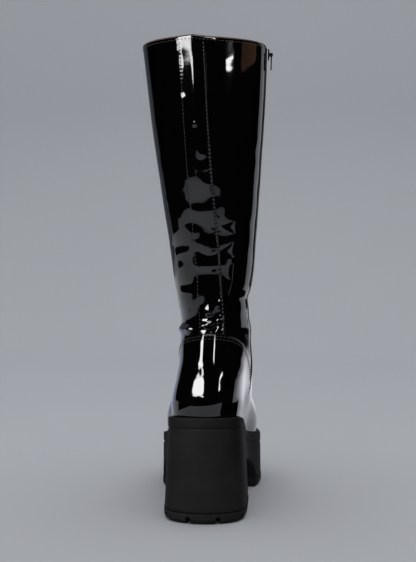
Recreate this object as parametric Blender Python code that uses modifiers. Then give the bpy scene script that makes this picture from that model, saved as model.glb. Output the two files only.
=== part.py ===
"""Knee-high platform boot for the left foot, as an assembly of separate named solids.

Layout frame, in millimetres: x = 0 on the heel's centre line with +x towards the inner (medial) side,
y = 0 at the back of the sole with +y towards the toe, and z = 0 on the floor. The finished boot is moved
so that the origin lies on the floor under the middle of its bounding box.
"""

import functools
import math
from collections import namedtuple

import bmesh
import bpy
import numpy as np
from mathutils import Matrix, Vector

MM = 0.001
TAU = 2 * math.pi
GAP = 0.35

# Driving sizes of the sole
HEEL_SEAT_HEIGHT = 100.0
SOLE_LENGTH = 268.0
SOLE_LIP = 3.5
BALL_LIP = 4.8
SOLE_FLARE = 3.6
BACK_FLARE_SHARE = 0.34
FRONT_FLARE_SHARE = 0.70
BALL_FLARE_SHARE = 0.1
SOLE_EDGE = 1.2
SOLE_BACK_ROUND = 0.12
SOLE_FRONT_ROUND = 0.27
BAND_HEIGHT = 9.5
BAND_GROOVE_DEPTH = 0.9
BAND_GROOVE_HEIGHT = 1.6
BREAST_BOTTOM_Y = 82.0
BREAST_TOP_Y = 89.0
ARCH_HEIGHT = 42.0
ARCH_POWER = 2.1
ARCH_STATIONS = 6
FOREFOOT_BACK_Y = 160.0
TREAD_THICKNESS = 10.0
TREAD_PROUD = 0.4
TREAD_BEVEL_WIDTH = 2.4
TREAD_BEVEL_HEIGHT = 4.0
LUG_DEPTH = 6.5
LUG_GROOVE = 4.6
LUG_GROOVE_REACH = 14.0
LUG_PITCH = 29.0
HEEL_LUG_GROOVES = 6
FOREFOOT_LUG_GROOVES = 8
TOE_SPRING = 12.0
TOE_SPRING_START_Y = 190.0

# Driving sizes of the upper and of what is sewn on it
WALL = 2.0
INSOLE_THICKNESS = 3.0
INSOLE_CLEARANCE = 1.3
OVERLAY = 0.9
STRIP_WIDTH = 26.0
COUNTER_ARC_LATERAL = 124.0
COUNTER_ARC_MEDIAL = 103.0
COUNTER_TOP_RING = 7.25
COUNTER_END_RING_LATERAL = 1.2
COUNTER_END_RING_MEDIAL = 3.4
COUNTER_EDGE_POWER = 3.2
STRIP_START_RING = 7.31
STRIP_END_RING = 16.98

# Driving sizes of the zip
ZIP_SLIT = 7.2
ZIP_TAPE_WIDTH = 6.4
ZIP_TAPE_THICKNESS = 1.1
ZIP_TAPE_DEPTH = 0.5
ZIP_CHAIN_WIDTH = 4.0
ZIP_CHAIN_HEIGHT = 1.5
ZIP_SLIT_END_RING = 2.5
ZIP_TAPE_START_RING = 3.1
ZIP_TAPE_END_RING = 16.97
SLIDER_LENGTH = 10.0
SLIDER_WIDTH = 7.0
SLIDER_PLATE = 1.4
SLIDER_RING = 16.8
PIN_RADIUS = 0.6
PIN_STANDOFF = 2.0
EYE_RADIUS = 1.6
EYE_BORE = 0.95
EYE_WIDTH = 3.0
CHEEK_THICKNESS = 1.2
CHEEK_LENGTH = 2.6
PULL_WIDTH = 5.0
PULL_LENGTH = 15.0
PULL_THICKNESS = 1.2
PULL_SLOT_WIDTH = 1.8
PULL_SLOT_LENGTH = 6.0
METAL_ROUNDING = 0.35

# Mesh fineness
UPPER_COLUMNS = 48
ROWS_PER_RING = 2
SOLE_HALF_POINTS = 30
STRIP_COLUMNS = 4
COUNTER_COLUMNS = 36
COUNTER_ROWS = 9
PIN_SIDES = 20
ARC_SAMPLES = 181
LIMIT_OF_SMOOTH = math.radians(35)

# Height of the sole's top face along the foot: heel seat, shank, ball and toe
TopPoint = namedtuple("TopPoint", "y z")
SOLE_TOP = (
    TopPoint(0.0, HEEL_SEAT_HEIGHT),
    TopPoint(45.0, 94.0),
    TopPoint(100.0, 77.5),
    TopPoint(150.0, 61.5),
    TopPoint(190.0, 55.0),
    TopPoint(230.0, 54.0),
    TopPoint(SOLE_LENGTH, 57.5),
)

# One row for each section of the upper, from the feather edge on the sole up to the collar.
# back and front are the section's ends on the side profile, and the widths run from x = 0 to each side.
# round is the share of the section's length over which an end rounds off, and follow is how far the section
# keeps to the slope of the sole. zip_share is where the zip crosses, from 0 at the back to 1 at the front,
# and strip_shift is how far the back strip's middle lies from the back, towards the medial side.
Ring = namedtuple(
    "Ring",
    "back_y back_z front_y front_z lateral_heel lateral_waist lateral_ball medial_heel medial_waist "
    "medial_ball back_round front_round follow zip_share strip_shift",
)
RINGS = (
    # feather edge, then the wall above it with the fullest part of the toe and counter
    Ring(4.5, 100.1, 262.0, 57.2, 33.0, 35.0, 50.5, 32.8, 33.2, 46.5, 0.15, 0.28, 1.00, 0.330, 4.0),
    Ring(2.6, 112.0, 264.0, 68.5, 33.6, 35.8, 51.5, 34.6, 36.5, 47.5, 0.16, 0.28, 1.00, 0.335, 4.0),
    Ring(2.6, 123.5, 262.0, 80.0, 32.3, 35.0, 50.0, 35.6, 40.0, 46.5, 0.17, 0.29, 0.95, 0.340, 4.0),
    Ring(4.4, 134.5, 254.5, 90.0, 30.1, 33.0, 45.0, 36.6, 42.0, 43.2, 0.18, 0.31, 0.85, 0.350, 4.0),
    # top of the toe box and along the vamp
    Ring(7.0, 145.0, 239.0, 96.6, 28.4, 30.8, 38.2, 37.2, 43.0, 38.5, 0.20, 0.34, 0.70, 0.365, 3.8),
    Ring(10.0, 155.0, 214.0, 102.3, 27.5, 28.8, 32.0, 37.6, 43.3, 36.0, 0.24, 0.38, 0.50, 0.385, 3.4),
    Ring(13.0, 164.5, 187.0, 110.7, 27.2, 27.8, 29.0, 38.0, 43.2, 35.5, 0.28, 0.43, 0.30, 0.410, 3.0),
    Ring(15.8, 174.5, 162.5, 125.5, 27.2, 27.4, 27.8, 38.2, 42.6, 36.0, 0.34, 0.49, 0.12, 0.435, 2.4),
    # instep, throat and ankle
    Ring(18.2, 185.5, 144.0, 147.5, 27.3, 27.5, 27.6, 38.4, 41.6, 37.4, 0.42, 0.56, 0.00, 0.460, 1.6),
    Ring(19.8, 198.0, 132.0, 174.5, 28.0, 28.2, 28.2, 38.6, 40.2, 38.6, 0.50, 0.62, 0.00, 0.480, 0.8),
    Ring(20.4, 214.0, 126.0, 204.0, 30.2, 30.3, 30.3, 40.0, 40.8, 40.2, 0.58, 0.66, 0.00, 0.490, 0.0),
    # shaft, flaring up to the collar
    Ring(19.6, 236.0, 123.6, 232.0, 33.8, 34.0, 34.0, 44.2, 44.4, 44.2, 0.66, 0.70, 0.00, 0.500, -1.5),
    Ring(17.2, 264.0, 122.6, 262.5, 37.8, 37.8, 37.8, 46.9, 46.9, 46.9, 0.70, 0.72, 0.00, 0.500, -3.2),
    Ring(14.0, 298.0, 122.6, 297.5, 43.0, 43.0, 43.0, 49.5, 49.5, 49.5, 0.72, 0.72, 0.00, 0.500, -5.0),
    Ring(10.8, 337.0, 123.6, 337.0, 49.0, 49.0, 49.0, 52.2, 52.2, 52.2, 0.72, 0.72, 0.00, 0.500, -6.6),
    Ring(8.4, 377.0, 125.2, 377.0, 54.6, 54.6, 54.6, 54.8, 54.8, 54.8, 0.72, 0.72, 0.00, 0.500, -7.8),
    Ring(6.8, 417.0, 127.0, 417.0, 59.3, 59.3, 59.3, 56.9, 56.9, 56.9, 0.72, 0.72, 0.00, 0.500, -8.4),
    Ring(6.0, 457.5, 128.4, 457.5, 64.0, 64.0, 64.0, 58.0, 58.0, 58.0, 0.72, 0.72, 0.00, 0.500, -8.6),
)
LATERAL_STATIONS = (0.17, 0.42, 0.64)
MEDIAL_STATIONS = (0.17, 0.45, 0.72)
COLLAR_RING = len(RINGS) - 1.0

# Colour, roughness and metallic value of each finish
Finish = namedtuple("Finish", "colour roughness metallic")
PATENT = Finish((0.006, 0.006, 0.007), 0.05, 0.0)
RUBBER = Finish((0.012, 0.012, 0.012), 0.65, 0.0)
SOCK = Finish((0.020, 0.018, 0.017), 0.80, 0.0)
TAPE = Finish((0.008, 0.008, 0.009), 0.75, 0.0)
GUNMETAL = Finish((0.090, 0.090, 0.095), 0.30, 1.0)


# Smooth tables and rounding


class SmoothTable:
    """Natural cubic splines through the columns of a table, read at any place along its knots."""

    def __init__(self, knots, rows):
        self.knots = np.asarray(knots, float)
        self.rows = np.asarray(rows, float).reshape(len(self.knots), -1)
        count = len(self.knots)
        steps = np.diff(self.knots)
        matrix = np.eye(count)
        right = np.zeros_like(self.rows)
        for i in range(1, count - 1):
            before, after = steps[i - 1], steps[i]
            matrix[i, i - 1 : i + 2] = (before, 2 * (before + after), after)
            rise_after = (self.rows[i + 1] - self.rows[i]) / after
            rise_before = (self.rows[i] - self.rows[i - 1]) / before
            right[i] = 6 * (rise_after - rise_before)
        self.bends = np.linalg.solve(matrix, right)

    def __call__(self, place):
        i = int(np.clip(np.searchsorted(self.knots, place) - 1, 0, len(self.knots) - 2))
        step = self.knots[i + 1] - self.knots[i]
        far = (place - self.knots[i]) / step
        near = 1 - far
        bend = (near**3 - near) * self.bends[i] + (far**3 - far) * self.bends[i + 1]
        return near * self.rows[i] + far * self.rows[i + 1] + bend * step**2 / 6


RING_TABLE = SmoothTable(range(len(RINGS)), RINGS)
SOLE_TOP_TABLE = SmoothTable([point.y for point in SOLE_TOP], [point.z for point in SOLE_TOP])


def sole_top(y):
    """Height of the sole's top face at a distance from the heel's back."""
    return float(SOLE_TOP_TABLE(min(max(y, 0.0), SOLE_LENGTH))[0])


def smoother(value):
    """Goes from 0 to 1 with level ends."""
    t = min(max(value, 0.0), 1.0)
    return t**3 * (t * (6 * t - 15) + 10)


def end_round(distance, reach):
    """Share of the full width at a distance from an end that rounds off over a reach."""
    return math.sqrt(math.tanh(2 * max(distance, 0.0) / reach))


# The upper's own surface


def side_width(share, stations, widths):
    """Width on one side at a share of the section's length, between its heel, waist and ball widths."""
    heel, waist, ball = widths
    to_waist = smoother((share - stations[0]) / (stations[1] - stations[0]))
    to_ball = smoother((share - stations[1]) / (stations[2] - stations[1]))
    return heel + (waist - heel) * to_waist + (ball - waist) * to_ball


def plan_point(ring, angle):
    """The x and y of a section at an angle, and the share of its length there. The angle turns from the back
    (0) past the medial side to the front (pi) and on past the lateral side."""
    angle %= TAU
    medial = angle <= math.pi
    half_turn = angle if medial else TAU - angle
    share = (1 - math.cos(half_turn)) / 2
    back_x = (ring.medial_heel - ring.lateral_heel) / 2
    front_x = (ring.medial_ball - ring.lateral_ball) / 2
    centre = back_x + (front_x - back_x) * smoother(share)
    if medial:
        widths = (ring.medial_heel, ring.medial_waist, ring.medial_ball)
        reach = side_width(share, MEDIAL_STATIONS, widths) - centre
    else:
        widths = (ring.lateral_heel, ring.lateral_waist, ring.lateral_ball)
        reach = -side_width(share, LATERAL_STATIONS, widths) - centre
    at_middle = end_round(0.5, ring.back_round) * end_round(0.5, ring.front_round)
    rounding = end_round(share, ring.back_round) * end_round(1 - share, ring.front_round) / at_middle
    return centre + reach * rounding, ring.back_y + (ring.front_y - ring.back_y) * share, share


@functools.lru_cache(maxsize=None)
def ring_at(place):
    """Section of the upper at a place that counts rows of the table up from the feather edge."""
    return Ring(*RING_TABLE(place))


def upper_point(place, angle):
    """Point on the upper's outer face."""
    ring = ring_at(place)
    x, y, share = plan_point(ring, angle)
    lift_back = ring.back_z - sole_top(ring.back_y)
    lift_front = ring.front_z - sole_top(ring.front_y)
    on_sole = sole_top(y) + lift_back + (lift_front - lift_back) * share
    straight = ring.back_z + (ring.front_z - ring.back_z) * share
    return Vector((x, y, ring.follow * on_sole + (1 - ring.follow) * straight))


def upper_frame(place, angle):
    """Point, upward tangent, tangent along the section and outward normal of the upper's face."""
    step = 0.01
    low = max(place - step, 0.0)
    high = min(place + step, COLLAR_RING)
    up = (upper_point(high, angle) - upper_point(low, angle)).normalized()
    along = upper_point(place, angle + step) - upper_point(place, angle - step)
    normal = along.cross(up).normalized()
    return upper_point(place, angle), up, along / (2 * step), normal


def raised(place, angle, height):
    """Point at a height over the upper's outer face."""
    point, _, _, normal = upper_frame(place, angle)
    return point + normal * height


@functools.lru_cache(maxsize=None)
def arc_table(place):
    """Angles round a section and their distances from the back, lateral side negative."""
    angles = np.linspace(-math.pi, math.pi, ARC_SAMPLES)
    points = np.array([upper_point(place, angle) for angle in angles])
    steps = np.linalg.norm(np.diff(points, axis=0), axis=1)
    arcs = np.concatenate(([0.0], np.cumsum(steps)))
    return angles, arcs - np.interp(0.0, angles, arcs)


def angle_at_arc(place, arc):
    """Angle at a distance from the back, measured round the section."""
    angles, arcs = arc_table(place)
    return float(np.interp(arc, arcs, angles))


def zip_angle(place):
    """Angle of the zip's middle line."""
    return math.acos(1 - 2 * ring_at(place).zip_share)


def zip_side_angle(place, offset):
    """Angle at a small distance from the zip's middle line, towards the front."""
    angle = zip_angle(place)
    speed = upper_frame(place, angle)[2].length
    return angle + offset / speed


# Meshes from rows of points


def new_material(name, finish):
    material = bpy.data.materials.new(name)
    material.use_nodes = True
    shader = material.node_tree.nodes["Principled BSDF"]
    shader.inputs["Base Color"].default_value = (*finish.colour, 1.0)
    shader.inputs["Roughness"].default_value = finish.roughness
    shader.inputs["Metallic"].default_value = finish.metallic
    return material


def add_object(name, mesh, finish, collection):
    """Links a mesh, already in metres, as a named object with its own material."""
    mesh.materials.append(new_material(name, finish))
    item = bpy.data.objects.new(name, mesh)
    collection.objects.link(item)
    return item


def shade(item):
    item.data.shade_smooth()
    item.data.set_sharp_from_angle(angle=LIMIT_OF_SMOOTH)


def mesh_from_rows(name, rows, join_rows=0):
    """Open surface through rows of points. In the first join_rows rows the last point is the first one."""
    mesh = bpy.data.meshes.new(name)
    sheet = bmesh.new()
    corners = []
    for index, row in enumerate(rows):
        made = [sheet.verts.new(point * MM) for point in (row[:-1] if index < join_rows else row)]
        corners.append(made + [made[0]] if index < join_rows else made)
    for low, high in zip(corners, corners[1:]):
        for j in range(len(low) - 1):
            sheet.faces.new((low[j], low[j + 1], high[j + 1], high[j]))
    sheet.to_mesh(mesh)
    sheet.free()
    return mesh


def add_shell(name, rows, thickness, finish, collection, outward=False, join_rows=0):
    """Solid wall on an open surface, grown inward or outward from it."""
    item = add_object(name, mesh_from_rows(name, rows, join_rows), finish, collection)
    solidify = item.modifiers.new("wall", "SOLIDIFY")
    solidify.thickness = thickness * MM
    solidify.offset = 1.0 if outward else -1.0
    shade(item)
    return item


def add_stack(name, loops, finish, collection):
    """Closed solid through loops of points from top to bottom. Point k of a loop faces point -1 - k across
    the boot, and the first and last loops are closed by strips between those pairs."""
    mesh = bpy.data.meshes.new(name)
    solid = bmesh.new()
    corners = [[solid.verts.new(Vector(point) * MM) for point in loop] for loop in loops]
    count = len(corners[0])
    for high, low in zip(corners, corners[1:]):
        for j in range(count):
            after = (j + 1) % count
            solid.faces.new((low[j], low[after], high[after], high[j]))
    for j in range(count // 2 - 1):
        pair = (j, j + 1, count - 2 - j, count - 1 - j)
        solid.faces.new([corners[0][k] for k in pair])
        solid.faces.new([corners[-1][k] for k in reversed(pair)])
    bmesh.ops.triangulate(solid, faces=solid.faces[:])
    solid.to_mesh(mesh)
    solid.free()
    item = add_object(name, mesh, finish, collection)
    shade(item)
    return item


def add_box(solid, size, centre, turn=0.0):
    """Adds a box, turned about z, to a mesh in the making."""
    place = Matrix.Translation(Vector(centre) * MM) @ Matrix.Rotation(turn, 4, "Z")
    bmesh.ops.create_cube(solid, size=1.0, matrix=place @ Matrix.Diagonal((*(Vector(size) * MM), 1.0)))


def new_cutter(name, solid, collection):
    """Turns a mesh in the making into a hidden cutter."""
    mesh = bpy.data.meshes.new(name)
    solid.to_mesh(mesh)
    solid.free()
    item = bpy.data.objects.new(name, mesh)
    item.display_type = "WIRE"
    item.hide_render = True
    collection.objects.link(item)
    return item


def add_boolean(item, cutter, operation):
    boolean = item.modifiers.new(cutter.name, "BOOLEAN")
    boolean.operation = operation
    boolean.solver = "EXACT"
    boolean.object = cutter


# Upper, counter, back strip and insole


def make_upper(collection):
    places = [step / ROWS_PER_RING for step in range(int(COLLAR_RING) * ROWS_PER_RING + 1)]
    rows = []
    for place in places:
        middle = zip_angle(place)
        half_slit = 0.0
        if place > ZIP_SLIT_END_RING:
            half_slit = zip_side_angle(place, ZIP_SLIT / 2) - middle
        first = middle + half_slit
        turn = TAU - 2 * half_slit
        rows.append([upper_point(place, first + turn * j / UPPER_COLUMNS) for j in range(UPPER_COLUMNS + 1)])
    closed = sum(place <= ZIP_SLIT_END_RING for place in places)
    return add_shell("upper", rows, WALL, PATENT, collection, join_rows=closed)


def counter_edge(arc):
    """Place of the counter's top edge at a distance from the back."""
    if arc < 0:
        share, end = -arc / COUNTER_ARC_LATERAL, COUNTER_END_RING_LATERAL
    else:
        share, end = arc / COUNTER_ARC_MEDIAL, COUNTER_END_RING_MEDIAL
    return COUNTER_TOP_RING - (COUNTER_TOP_RING - end) * share**COUNTER_EDGE_POWER


def make_counter(collection):
    arcs = np.linspace(-COUNTER_ARC_LATERAL, COUNTER_ARC_MEDIAL, COUNTER_COLUMNS + 1)
    rows = []
    for i in range(COUNTER_ROWS + 1):
        row = []
        for arc in arcs:
            place = counter_edge(arc) * i / COUNTER_ROWS
            row.append(raised(place, angle_at_arc(place, arc), GAP))
        rows.append(row)
    return add_shell("heel_counter", rows, OVERLAY, PATENT, collection, outward=True)


def make_back_strip(collection):
    start, end = STRIP_START_RING, STRIP_END_RING
    count = int((end - start) * ROWS_PER_RING) + 1
    rows = []
    for i in range(count + 1):
        place = start + (end - start) * i / count
        middle = ring_at(place).strip_shift
        arcs = np.linspace(middle - STRIP_WIDTH / 2, middle + STRIP_WIDTH / 2, STRIP_COLUMNS + 1)
        rows.append([raised(place, angle_at_arc(place, arc), GAP) for arc in arcs])
    return add_shell("back_strip", rows, OVERLAY, PATENT, collection, outward=True)


def grown_feather(heel, ball, back, front):
    """The feather edge's plan, grown at the heel and waist, at the ball, and at its two ends."""
    feather = RINGS[0]
    return feather._replace(
        back_y=feather.back_y - back,
        front_y=feather.front_y + front,
        lateral_heel=feather.lateral_heel + heel,
        lateral_waist=feather.lateral_waist + heel,
        lateral_ball=feather.lateral_ball + ball,
        medial_heel=feather.medial_heel + heel,
        medial_waist=feather.medial_waist + heel,
        medial_ball=feather.medial_ball + ball,
    )


def sole_ring(inset=0.0, flare=0.0):
    """Plan of the sole, which stands out past the feather edge by its lip and by its flare."""
    heel = SOLE_LIP - inset
    ball = BALL_LIP - inset
    back = heel + flare * BACK_FLARE_SHARE
    front = heel + flare * FRONT_FLARE_SHARE
    plan = grown_feather(heel + flare, ball + flare * BALL_FLARE_SHARE, back, front)
    return plan._replace(back_round=SOLE_BACK_ROUND, front_round=SOLE_FRONT_ROUND)


def half_angles():
    """Even angles from the back to the front, clear of both ends."""
    return [(k + 0.5) * math.pi / SOLE_HALF_POINTS for k in range(SOLE_HALF_POINTS)]


def angle_at_y(ring, y):
    """Angle on the medial side of a section at a distance from the heel's back."""
    return math.acos(1 - 2 * (y - ring.back_y) / (ring.front_y - ring.back_y))


def both_sides(angles):
    """Medial angles followed by their lateral partners in reverse."""
    return list(angles) + [TAU - angle for angle in reversed(angles)]


def make_insole(collection):
    inset = WALL + INSOLE_CLEARANCE
    plan = grown_feather(-inset, -inset, -inset, -inset)
    loops = []
    for lift in (GAP + INSOLE_THICKNESS, GAP):
        loop = []
        for angle in both_sides(half_angles()):
            x, y, _ = plan_point(plan, angle)
            loop.append((x, y, sole_top(y) + lift))
        loops.append(loop)
    return add_stack("insole", loops, SOCK, collection)


# Sole


def toe_spring(y):
    """Height of the tread's underside over the floor."""
    past = max(y - TOE_SPRING_START_Y, 0.0) / (SOLE_LENGTH - TOE_SPRING_START_Y)
    return TOE_SPRING * past**2


def sole_bottom(y):
    """Height of the platform's underside: heel block, breast, arch and forefoot."""
    if y <= BREAST_BOTTOM_Y:
        return TREAD_THICKNESS
    if y <= BREAST_TOP_Y:
        climb = (y - BREAST_BOTTOM_Y) / (BREAST_TOP_Y - BREAST_BOTTOM_Y)
        return TREAD_THICKNESS + (ARCH_HEIGHT - TREAD_THICKNESS) * climb
    if y < FOREFOOT_BACK_Y:
        along = (y - BREAST_TOP_Y) / (FOREFOOT_BACK_Y - BREAST_TOP_Y)
        drop = (1 - along**ARCH_POWER) ** (1 / ARCH_POWER)
        return TREAD_THICKNESS + (ARCH_HEIGHT - TREAD_THICKNESS) * drop
    return TREAD_THICKNESS + toe_spring(y)


def arch_angles(ring):
    """Angles of the heel's breast and of even steps along the arch."""
    steps = np.linspace(BREAST_TOP_Y, FOREFOOT_BACK_Y, ARCH_STATIONS + 1)
    return [angle_at_y(ring, y) for y in (BREAST_BOTTOM_Y, *steps)]


def make_platform(collection):
    bottom_ring = sole_ring(flare=SOLE_FLARE)
    arch = arch_angles(bottom_ring)
    clear = math.pi / SOLE_HALF_POINTS / 2
    even = [angle for angle in half_angles() if min(abs(angle - other) for other in arch) > clear]
    angles = both_sides(sorted(even + arch))
    below_band = BAND_HEIGHT + BAND_GROOVE_HEIGHT
    levels = (
        (SOLE_EDGE, 0.0),
        (0.0, SOLE_EDGE),
        (0.0, BAND_HEIGHT),
        (BAND_GROOVE_DEPTH, BAND_HEIGHT + BAND_GROOVE_HEIGHT / 2),
        (0.0, below_band),
    )
    loops = []
    for inset, drop in levels:
        ring = sole_ring(inset)
        loop = []
        for angle in angles:
            x, y, _ = plan_point(ring, angle)
            loop.append((x, y, sole_top(y) - drop))
        loops.append(loop)
    loop = []
    for angle in angles:
        y = plan_point(bottom_ring, angle)[1]
        depth = sole_top(y) - below_band - sole_bottom(y)
        full_depth = sole_top(y) - below_band - TREAD_THICKNESS
        x, flared_y, _ = plan_point(sole_ring(flare=SOLE_FLARE * depth / full_depth), angle)
        loop.append((x, flared_y, sole_bottom(y)))
    loops.append(loop)
    return add_stack("platform_sole", loops, RUBBER, collection)


def tread_ring(inset=0.0):
    """Plan of a tread layer, a little proud of the platform over it."""
    return sole_ring(inset - TREAD_PROUD, SOLE_FLARE)


def tread_loops(angles):
    """Top, bevel and underside of a tread layer through medial angles and their lateral partners."""
    levels = (
        (0.0, TREAD_THICKNESS - GAP),
        (0.0, TREAD_BEVEL_HEIGHT),
        (TREAD_BEVEL_WIDTH, 0.0),
    )
    loops = []
    for inset, height in levels:
        loop = []
        for angle in both_sides(angles):
            x, y, _ = plan_point(tread_ring(inset), angle)
            loop.append((x, y, toe_spring(y) + height))
        loops.append(loop)
    return loops


def rim_places(start_angle, direction, count):
    """Points and inward directions a lug pitch apart along a tread's rim, from half a pitch past an end."""
    ring = tread_ring()
    step = direction * math.radians(0.5)
    places = []
    walked = 0.0
    angle = start_angle
    before = Vector(plan_point(ring, angle)[:2])
    while len(places) < count:
        angle += step
        here = Vector(plan_point(ring, angle)[:2])
        walked += (here - before).length
        if walked >= LUG_PITCH * (len(places) + 0.5):
            along = (here - before).normalized() * direction
            places.append((here, Vector((-along.y, along.x))))
        before = here
    return places


def add_lug_grooves(item, start_angle, count, collection):
    """Cuts grooves across the rim of a tread, which leave lugs a pitch apart."""
    solid = bmesh.new()
    for direction in (1, -1):
        for point, inward in rim_places(start_angle, direction, count // 2):
            depth = LUG_DEPTH + toe_spring(point.y)
            size = (2 * LUG_GROOVE_REACH, LUG_GROOVE, 2 * depth)
            add_box(solid, size, (point.x, point.y, 0.0), math.atan2(inward.y, inward.x))
    add_boolean(item, new_cutter(item.name + "_grooves", solid, collection), "DIFFERENCE")


def make_treads(collection, cutters):
    ring = tread_ring()
    clear = math.pi / SOLE_HALF_POINTS / 4
    breast = angle_at_y(ring, BREAST_BOTTOM_Y)
    heel_angles = [angle for angle in half_angles() if angle < breast - clear] + [breast]
    heel = add_stack("heel_tread", tread_loops(heel_angles), RUBBER, collection)
    add_lug_grooves(heel, 0.0, HEEL_LUG_GROOVES, cutters)
    back = angle_at_y(ring, FOREFOOT_BACK_Y)
    forefoot_angles = [back] + [angle for angle in half_angles() if angle > back + clear]
    forefoot = add_stack("forefoot_tread", tread_loops(forefoot_angles), RUBBER, collection)
    add_lug_grooves(forefoot, math.pi, FOREFOOT_LUG_GROOVES, cutters)


# Zip


def zip_rows(width, height):
    """Rows of points along the zip, at a height over the upper's face."""
    start, end = ZIP_TAPE_START_RING, ZIP_TAPE_END_RING
    count = int((end - start) * ROWS_PER_RING) + 1
    rows = []
    for i in range(count + 1):
        place = start + (end - start) * i / count
        sides = np.linspace(-width / 2, width / 2, 3)
        rows.append([raised(place, zip_side_angle(place, side), height) for side in sides])
    return rows


def make_zip_band(collection):
    tape = zip_rows(ZIP_TAPE_WIDTH, -ZIP_TAPE_DEPTH)
    add_shell("zip_tape", tape, ZIP_TAPE_THICKNESS, TAPE, collection)
    chain = zip_rows(ZIP_CHAIN_WIDTH, GAP - ZIP_TAPE_DEPTH)
    add_shell("zip_chain", chain, ZIP_CHAIN_HEIGHT, GUNMETAL, collection, outward=True)


def zip_frame(height):
    """Frame on the zip at the slider: x outward, y along the section and z up, at a height over the face."""
    point, up, _, normal = upper_frame(SLIDER_RING, zip_angle(SLIDER_RING))
    side = up.cross(normal).normalized()
    turn = Matrix((normal, side, up)).transposed().to_4x4()
    return Matrix.Translation((point + normal * height) * MM) @ turn


def box_mesh(name, size, centre):
    solid = bmesh.new()
    add_box(solid, size, centre)
    mesh = bpy.data.meshes.new(name)
    solid.to_mesh(mesh)
    solid.free()
    return mesh


def placed_cutter(name, solid, frame, collection):
    cutter = new_cutter(name, solid, collection)
    cutter.matrix_world = frame
    return cutter


def cross_cylinder(radius, length):
    """Cylinder along the frame's y, as a mesh in the making."""
    solid = bmesh.new()
    bmesh.ops.create_cone(
        solid,
        cap_ends=True,
        segments=PIN_SIDES,
        radius1=radius * MM,
        radius2=radius * MM,
        depth=length * MM,
        matrix=Matrix.Rotation(math.pi / 2, 4, "X"),
    )
    return solid


def round_edges(item):
    rounding = item.modifiers.new("rounding", "BEVEL")
    rounding.width = METAL_ROUNDING * MM
    rounding.segments = 2


def make_slider(collection, cutters):
    """Slider plate with two cheeks and the cross pin that carries the pull tab, and the pin's frame."""
    chain_top = GAP - ZIP_TAPE_DEPTH + ZIP_CHAIN_HEIGHT
    pin_height = chain_top + GAP + SLIDER_PLATE + PIN_STANDOFF
    frame = zip_frame(pin_height)
    plate_x = -PIN_STANDOFF - SLIDER_PLATE / 2
    plate = box_mesh("zip_slider", (SLIDER_PLATE, SLIDER_WIDTH, SLIDER_LENGTH), (plate_x, 0.0, 0.0))
    slider = add_object("zip_slider", plate, GUNMETAL, collection)
    slider.matrix_world = frame
    round_edges(slider)
    cheek_y = EYE_WIDTH / 2 + GAP + CHEEK_THICKNESS / 2
    cheek_top = 2 * PIN_RADIUS
    cheek_height = cheek_top - plate_x
    for side, label in ((1, "front"), (-1, "back")):
        solid = bmesh.new()
        size = (cheek_height, CHEEK_THICKNESS, CHEEK_LENGTH)
        add_box(solid, size, (cheek_top - cheek_height / 2, side * cheek_y, 0.0))
        add_boolean(slider, placed_cutter("cheek_" + label, solid, frame, cutters), "UNION")
    pin = cross_cylinder(PIN_RADIUS, 2 * cheek_y)
    add_boolean(slider, placed_cutter("pin", pin, frame, cutters), "UNION")
    shade(slider)
    return frame


def make_pull(frame, collection, cutters):
    """Pull tab with a barrel eye on the pin, hanging along the zip. Its origin is on the pin's axis."""
    tab_size = (PULL_THICKNESS, PULL_WIDTH, PULL_LENGTH)
    tab = box_mesh("zip_pull", tab_size, (0.0, 0.0, -PULL_LENGTH / 2))
    pull = add_object("zip_pull", tab, GUNMETAL, collection)
    pull.matrix_world = frame
    round_edges(pull)
    shoulders = bmesh.new()
    shoulder_width = PULL_WIDTH
    for side in (1, -1):
        size = (4 * EYE_RADIUS, shoulder_width, 2 * CHEEK_LENGTH)
        add_box(shoulders, size, (0.0, side * (EYE_WIDTH + shoulder_width) / 2, 0.0))
    add_boolean(pull, placed_cutter("pull_shoulders", shoulders, frame, cutters), "DIFFERENCE")
    eye = cross_cylinder(EYE_RADIUS, EYE_WIDTH)
    add_boolean(pull, placed_cutter("pull_eye", eye, frame, cutters), "UNION")
    bore = cross_cylinder(EYE_BORE, 2 * EYE_WIDTH)
    add_boolean(pull, placed_cutter("pull_bore", bore, frame, cutters), "DIFFERENCE")
    slot = bmesh.new()
    slot_size = (4 * PULL_THICKNESS, PULL_SLOT_WIDTH, PULL_SLOT_LENGTH)
    add_box(slot, slot_size, (0.0, 0.0, PULL_SLOT_LENGTH - PULL_LENGTH))
    add_boolean(pull, placed_cutter("pull_slot", slot, frame, cutters), "DIFFERENCE")
    shade(pull)


# Assembly


def centre_on_floor(root, collection):
    """Moves the root so that the boot's box is centred over the origin."""
    bpy.context.view_layer.update()
    low = Vector((math.inf,) * 3)
    high = Vector((-math.inf,) * 3)
    for item in collection.objects:
        if item.type != "MESH":
            continue
        for corner in item.bound_box:
            place = item.matrix_world @ Vector(corner)
            low = Vector(map(min, low, place))
            high = Vector(map(max, high, place))
    root.location = (-(low.x + high.x) / 2, -(low.y + high.y) / 2, 0.0)


def main():
    for item in list(bpy.data.objects):
        bpy.data.objects.remove(item, do_unlink=True)
    boot = bpy.data.collections.new("knee_high_platform_boot")
    cutters = bpy.data.collections.new("cutters")
    bpy.context.scene.collection.children.link(boot)
    bpy.context.scene.collection.children.link(cutters)

    make_upper(boot)
    make_counter(boot)
    make_back_strip(boot)
    make_insole(boot)
    make_platform(boot)
    make_treads(boot, cutters)
    make_zip_band(boot)
    pin_frame = make_slider(boot, cutters)
    make_pull(pin_frame, boot, cutters)

    root = bpy.data.objects.new("boot_root", None)
    boot.objects.link(root)
    for item in list(boot.objects) + list(cutters.objects):
        if item is not root:
            item.parent = root
    centre_on_floor(root, boot)


main()
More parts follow.
